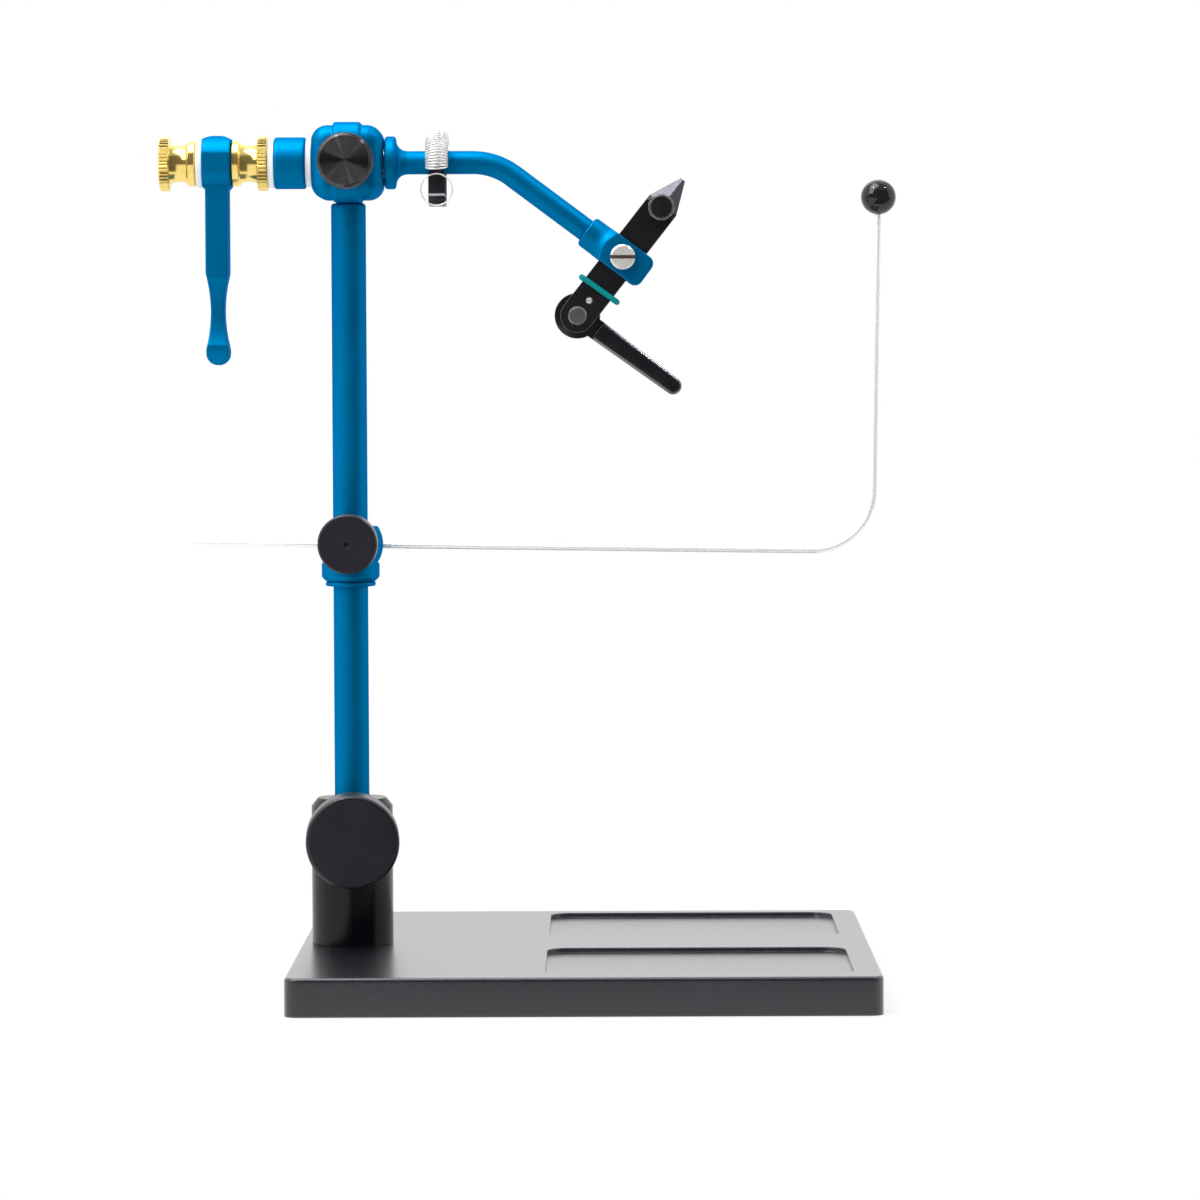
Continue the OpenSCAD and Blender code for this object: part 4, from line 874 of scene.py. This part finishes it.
# %% Ring
CORD_R, CORD_SIDES = 0.75 * MM, 20
TURN_R, TURN_STEPS = 1.05 * MM, 10
RUN_Y, RUN_Z, RUN_PARTS = 3.35 * MM, 4.725 * MM, 6
RING_U, RING_OFF, RING_SLANT = 9.1 * MM, -0.35 * MM, 2.5
RUNS = (((0, 0, 1), RUN_Z), ((0, -1, 0), RUN_Y), ((0, 0, -1), RUN_Z), ((0, 1, 0), RUN_Y))
CORNERS = ((RUN_Y, RUN_Z), (-RUN_Y, RUN_Z), (-RUN_Y, -RUN_Z), (RUN_Y, -RUN_Z))
section(CORD_SIDES, CORD_R, (0, RUN_Y + TURN_R, -RUN_Z), fill_type="NGON")
edit_all()
bpy.ops.mesh.select_mode(type="FACE")
for (direction, half), (corner_y, corner_z) in zip(RUNS, CORNERS):
    step = Vector(direction) * 2 * half / RUN_PARTS
    for _ in range(RUN_PARTS):
        extrude(*step)
    bpy.ops.mesh.spin(
        steps=TURN_STEPS, angle=math.pi / 2, center=(0, corner_y, corner_z), axis=(-1, 0, 0)
    )
bpy.ops.mesh.delete(type="FACE")
bpy.ops.mesh.select_all(action="SELECT")
bpy.ops.mesh.remove_doubles(threshold=NEARLY)
bpy.ops.mesh.select_all(action="DESELECT")
bpy.ops.mesh.select_interior_faces()
bpy.ops.mesh.delete(type="FACE")
bpy.ops.mesh.select_all(action="SELECT")
bpy.ops.mesh.normals_make_consistent(inside=False)
leave_edit()
jaw_ring = bpy.context.object
lean = Matrix.Rotation(-math.atan2(along.z, along.x), 4, "Y")
slant = Matrix.Rotation(math.radians(-RING_SLANT), 4, "Y")
set_in = Matrix.Translation((RING_U, 0, RING_OFF)) @ slant
jaw_ring.matrix_world = Matrix.Translation(pin) @ lean @ set_in
jaw_ring = add_piece("rubber_jaw_ring", "jaws", "teal_rubber", rubber, "jaw_ring")
print_box(jaw_ring, "jaw_ring")

# %% [markdown]
# ## The head block
# The head is one block with all its edges rounded, and a raised belt runs round it over the stem. The
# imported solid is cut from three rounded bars, which leaves a mitre line on every corner. On the real
# block the edges run together in a ball, so a cube has all its edges rounded at once.

# %% Head block
HEAD_W, HEAD_D, HEAD_H = 19.1 * MM, 19.1 * MM, 19.7 * MM
HEAD_EDGE_R, HEAD_EDGE_PARTS = 4.3 * MM, 14
BELT_W, BELT_PROUD = 7.3 * MM, 0.85 * MM
BELT_EDGE_R, BELT_EDGE_PARTS = 0.6 * MM, 5
BUSH_R, DRAG_R, TENON_R, DRILL_SIDES = 5.54 * MM, 2.54 * MM, 3.04 * MM, 64
TENON_LOW, TENON_HIGH = -11.8 * MM, -6.1 * MM
SHARP = math.radians(60)


def unite(*others):
    """Joins other objects to the active one with a Boolean, then deletes them."""
    for other in others:
        apply_modifier("BOOLEAN", operation="UNION", object=other, solver="EXACT")
        bpy.data.objects.remove(other)


def drill(radius, depth, location, rotation=(0, 0, 0)):
    """Cuts a round hole into the active object."""
    work = bpy.context.object
    fresh()
    bpy.ops.mesh.primitive_cylinder_add(
        vertices=DRILL_SIDES, radius=radius, depth=depth, location=location, rotation=rotation
    )
    bit = bpy.context.object
    bpy.context.view_layer.objects.active = work
    apply_modifier("BOOLEAN", operation="DIFFERENCE", object=bit, solver="EXACT")
    bpy.data.objects.remove(bit)
    work.select_set(True)


belt = box((BELT_W, HEAD_D + 2 * BELT_PROUD, HEAD_H + 2 * BELT_PROUD))
bpy.ops.object.mode_set(mode="EDIT")
bpy.ops.mesh.select_mode(type="EDGE")
bpy.ops.mesh.select_all(action="DESELECT")
leave_edit()
for edge in belt.data.edges:
    first, second = (belt.data.vertices[v].co for v in edge.vertices)
    edge.select = abs(first.x - second.x) > BELT_W / 2
bpy.ops.object.mode_set(mode="EDIT")
bpy.ops.mesh.bevel(offset=HEAD_EDGE_R + BELT_PROUD, segments=HEAD_EDGE_PARTS, affect="EDGES")
leave_edit()
apply_modifier(
    "BEVEL", width=BELT_EDGE_R, segments=BELT_EDGE_PARTS, limit_method="ANGLE", angle_limit=SHARP
)
box((HEAD_W, HEAD_D, HEAD_H))
apply_modifier("BEVEL", width=HEAD_EDGE_R, segments=HEAD_EDGE_PARTS)
unite(belt)
drill(BUSH_R, 2 * HEAD_W, (0, 0, 0), (0, math.pi / 2, 0))
drill(DRAG_R, HEAD_D, (0, -HEAD_D / 2, 0), FACE_CAMERA)
drill(TENON_R, TENON_HIGH - TENON_LOW, (0, 0, (TENON_LOW + TENON_HIGH) / 2))
head = bpy.context.object
head_low, head_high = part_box("head_block")
head.location = (head_low + head_high) / 2
head = add_piece("rounded_head_block", "stem", "blue_anodised", blue, "head_block")
apply_modifier("WEIGHTED_NORMAL", keep_sharp=True)
print_box(head, "head_block")

# %% [markdown]
# ## The cam lever
# The lever is pressed down to close the jaws. It is a bar with broad bevels, so that it feels smooth,
# on a cam disc between the jaws. The bar could be cut from a box, but its round end is easier to get
# by starting from half a circle, drawing it out to the root, and giving it thickness.

# %% Lever bar
LEVER_END_R, LEVER_END_SIDES = 2.3 * MM, 48
LEVER_REACH, LEVER_ROOT, LEVER_ROOT_W = 31.7 * MM, 6.4 * MM, 5.56 * MM
LEVER_T, LEVER_BEVEL, LEVER_BEVEL_PARTS = 4.6 * MM, 0.75 * MM, 4
LEVER_SHARP = math.radians(50)
lever_turn = Matrix.Rotation(math.radians(88.4), 4, "Y")


def pick_vertices(test):
    """Selects the vertices of the active object that pass a test on their place."""
    bpy.ops.object.mode_set(mode="EDIT")
    bpy.ops.mesh.select_mode(type="VERT")
    bpy.ops.mesh.select_all(action="DESELECT")
    leave_edit()
    for vertex in bpy.context.object.data.vertices:
        vertex.select = test(vertex.co)
    bpy.ops.object.mode_set(mode="EDIT")


def two_blacks(piece):
    """Polished black first, then the lighter one for the bevels, a painted highlight."""
    piece.data.materials.append(lever_black.material)
    piece.data.materials.append(lever_bevel_highlight.material)


lever_bar = section(LEVER_END_SIDES, LEVER_END_R, (LEVER_REACH, -LEVER_T / 2, 0), FACE_CAMERA)
pick_vertices(lambda co: co.x < LEVER_REACH - NEARLY)
bpy.ops.mesh.delete(type="VERT")
bpy.ops.mesh.select_all(action="SELECT")
bpy.ops.mesh.edge_face_add()
leave_edit()
pick_vertices(lambda co: abs(co.x - LEVER_REACH) < NEARLY)
bpy.ops.mesh.extrude_edges_move(TRANSFORM_OT_translate={"value": (LEVER_ROOT - LEVER_REACH, 0, 0)})
bpy.ops.transform.resize(value=(1, 1, LEVER_ROOT_W / (2 * LEVER_END_R)))
bpy.ops.mesh.select_all(action="SELECT")
bpy.ops.mesh.dissolve_limited(angle_limit=math.radians(1))
bpy.ops.mesh.select_all(action="SELECT")
extrude(0, LEVER_T, 0)
leave_edit()
close_and_turn_out()
two_blacks(lever_bar)
# The bevels take the second material, the painted highlight.
apply_modifier(
    "BEVEL", material=1, width=LEVER_BEVEL, segments=LEVER_BEVEL_PARTS,
    limit_method="ANGLE", angle_limit=LEVER_SHARP,
)
for face in lever_bar.data.polygons:
    if face.center.x < LEVER_ROOT + LEVER_BEVEL:
        face.material_index = 0
settle(lever_turn)
print("lever bar", len(lever_bar.data.polygons), "faces")

# %% [markdown]
# ### The cam disc
# The disc turns on the cam pin, and its rear face is cut askew, which pushes the follower as it turns.
# It could be cut from the bar's own stock. Here it is a ring with a neck, cut by one slanted plane, so
# that neither stands past the cam, and the bar is joined on last.

# %% Cam disc
DISC_R, DISC_SIDES, DISC_EDGE = 6.1 * MM, 96, 0.3 * MM
DISC_FRONT, DISC_REAR, BORE_R = -1.45 * MM, 1.45 * MM, 2.44 * MM
CUT_AT, CUT_NORMAL = 0.25 * MM, (-0.0534, 0.9971, 0.0534)
NECK_L, NECK_BACK, NECK_EDGE = 3.4 * MM, 0.4 * MM, 0.2 * MM
disc_t = DISC_REAR - DISC_FRONT


def on_front_rim(co):
    """On the outer rim of the disc's front face."""
    return abs(math.hypot(co.x, co.z) - DISC_R) < NEARLY and co.y < DISC_FRONT + NEARLY


neck = box((NECK_L, disc_t, LEVER_ROOT_W), (LEVER_ROOT - NECK_BACK, 0, 0))
apply_modifier("BEVEL", width=NECK_EDGE, segments=2)
settle(lever_turn)
disc = section(DISC_SIDES, BORE_R, (0, DISC_FRONT, 0), FACE_CAMERA)
edit_all()
bpy.ops.mesh.extrude_edges_move(TRANSFORM_OT_translate={"value": (0, 0, 0)})
bpy.ops.transform.resize(value=(DISC_R / BORE_R, 1, DISC_R / BORE_R))
bpy.ops.mesh.select_all(action="SELECT")
extrude(0, disc_t, 0)
leave_edit()
pick_vertices(on_front_rim)
bpy.ops.mesh.bevel(offset=DISC_EDGE, segments=3)
bpy.ops.mesh.select_all(action="SELECT")
bpy.ops.mesh.remove_doubles(threshold=MERGE)
bpy.ops.mesh.normals_make_consistent(inside=False)
leave_edit()
two_blacks(disc)
unite(neck)
edit_all()
bpy.ops.mesh.bisect(plane_co=(0, CUT_AT, 0), plane_no=CUT_NORMAL, use_fill=True, clear_outer=True)
leave_edit()
close_and_turn_out()
unite(lever_bar)
lever = bpy.context.object
lever.matrix_world = Matrix.Translation(pin) @ lean
lever = add_piece("cam_lever_bevelled", "cam_lever", "jaw_black", lever_black, "cam_lever")
print_box(lever, "cam_lever")

# %% [markdown]
# ## The slotted stop pin
# A small bright pin in the front jaw stops the cam. Its head is slotted for a screwdriver. The slot
# could be drawn in the material, but it catches light from the side, so it is cut.

# %% Stop pin
STOP_U, STOP_R, STOP_SIDES = 5.1 * MM, 0.85 * MM, 40
STOP_FRONT, STOP_REAR = -3.55 * MM, -1.55 * MM
STOP_CHAMFER, STOP_TIP = 0.2 * MM, 0.8
SLOT_L, SLOT_DEEP, SLOT_W = 3 * MM, 0.35 * MM, 0.3 * MM
cutter = box((SLOT_L, 2 * SLOT_DEEP, SLOT_W), (0, STOP_FRONT, 0))
settle(lean.inverted())
stop_pin = section(STOP_SIDES, STOP_R, (0, STOP_REAR, 0), FACE_CAMERA, "NGON")
edit_all()
extrude(0, STOP_FRONT - STOP_REAR + STOP_CHAMFER, 0)
extrude(0, -STOP_CHAMFER, 0)
bpy.ops.transform.resize(value=(STOP_TIP, 1, STOP_TIP))
leave_edit()
close_and_turn_out()
apply_modifier("BOOLEAN", operation="DIFFERENCE", object=cutter, solver="EXACT")
bpy.data.objects.remove(cutter)
stop_pin.matrix_world = Matrix.Translation(pin) @ lean @ Matrix.Translation((STOP_U, 0, 0))
stop_pin = add_piece("slotted_stop_pin", "jaws", "steel", bright_pin, "stop_pin")
print_box(stop_pin, "stop_pin")

# %% [markdown]
# ## The bobbin rod
# The bobbin hangs on a thin polished rod with one bend. Bright wire shows every flat on it, so the
# rod is drawn again with a rounder section. A curve with a bevel would do too. A disc drawn along,
# spun up round the bend and drawn on follows the way such a rod is bent.

# %% Bobbin rod
ROD_R, ROD_SIDES, ROD_END = 0.8 * MM, 32, 0.2 * MM
ROD_LEFT, ROD_RIGHT, ROD_UP = 42.5 * MM, 140.5 * MM, 95.2 * MM
ROD_BEND_R, ROD_BEND_STEPS = 16.4 * MM, 24
ROD_BELOW, ROD_DROOP = 0.5 * MM, 0.9
bend_middle = (ROD_RIGHT - ROD_BEND_R, 0, ROD_BEND_R)
bent_rod = section(ROD_SIDES, ROD_R, (-ROD_LEFT, 0, 0), (0, math.pi / 2, 0), "NGON")
edit_all()
bpy.ops.mesh.select_mode(type="FACE")
extrude(ROD_LEFT + ROD_RIGHT - ROD_BEND_R, 0, 0)
bpy.ops.mesh.spin(steps=ROD_BEND_STEPS, angle=math.pi / 2, center=bend_middle, axis=(0, 1, 0))
extrude(0, 0, ROD_UP - ROD_BEND_R)
leave_edit()
close_and_turn_out()
apply_modifier("BEVEL", width=ROD_END, segments=2, limit_method="ANGLE", angle_limit=SHARP)
rod_low, rod_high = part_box("bobbin_rod")
swivel = Vector(joints["cradle_swivel"]["pos_m"])
rod_start = Vector((swivel.x, (rod_low.y + rod_high.y) / 2, swivel.z - ROD_BELOW))
droop = Matrix.Rotation(math.radians(ROD_DROOP), 4, "Y")
bent_rod.matrix_world = Matrix.Translation(rod_start) @ droop
bent_rod = add_piece("bent_bobbin_rod", "bobbin_rod", "steel", rod, "bobbin_rod")
print_box(bent_rod, "bobbin_rod")
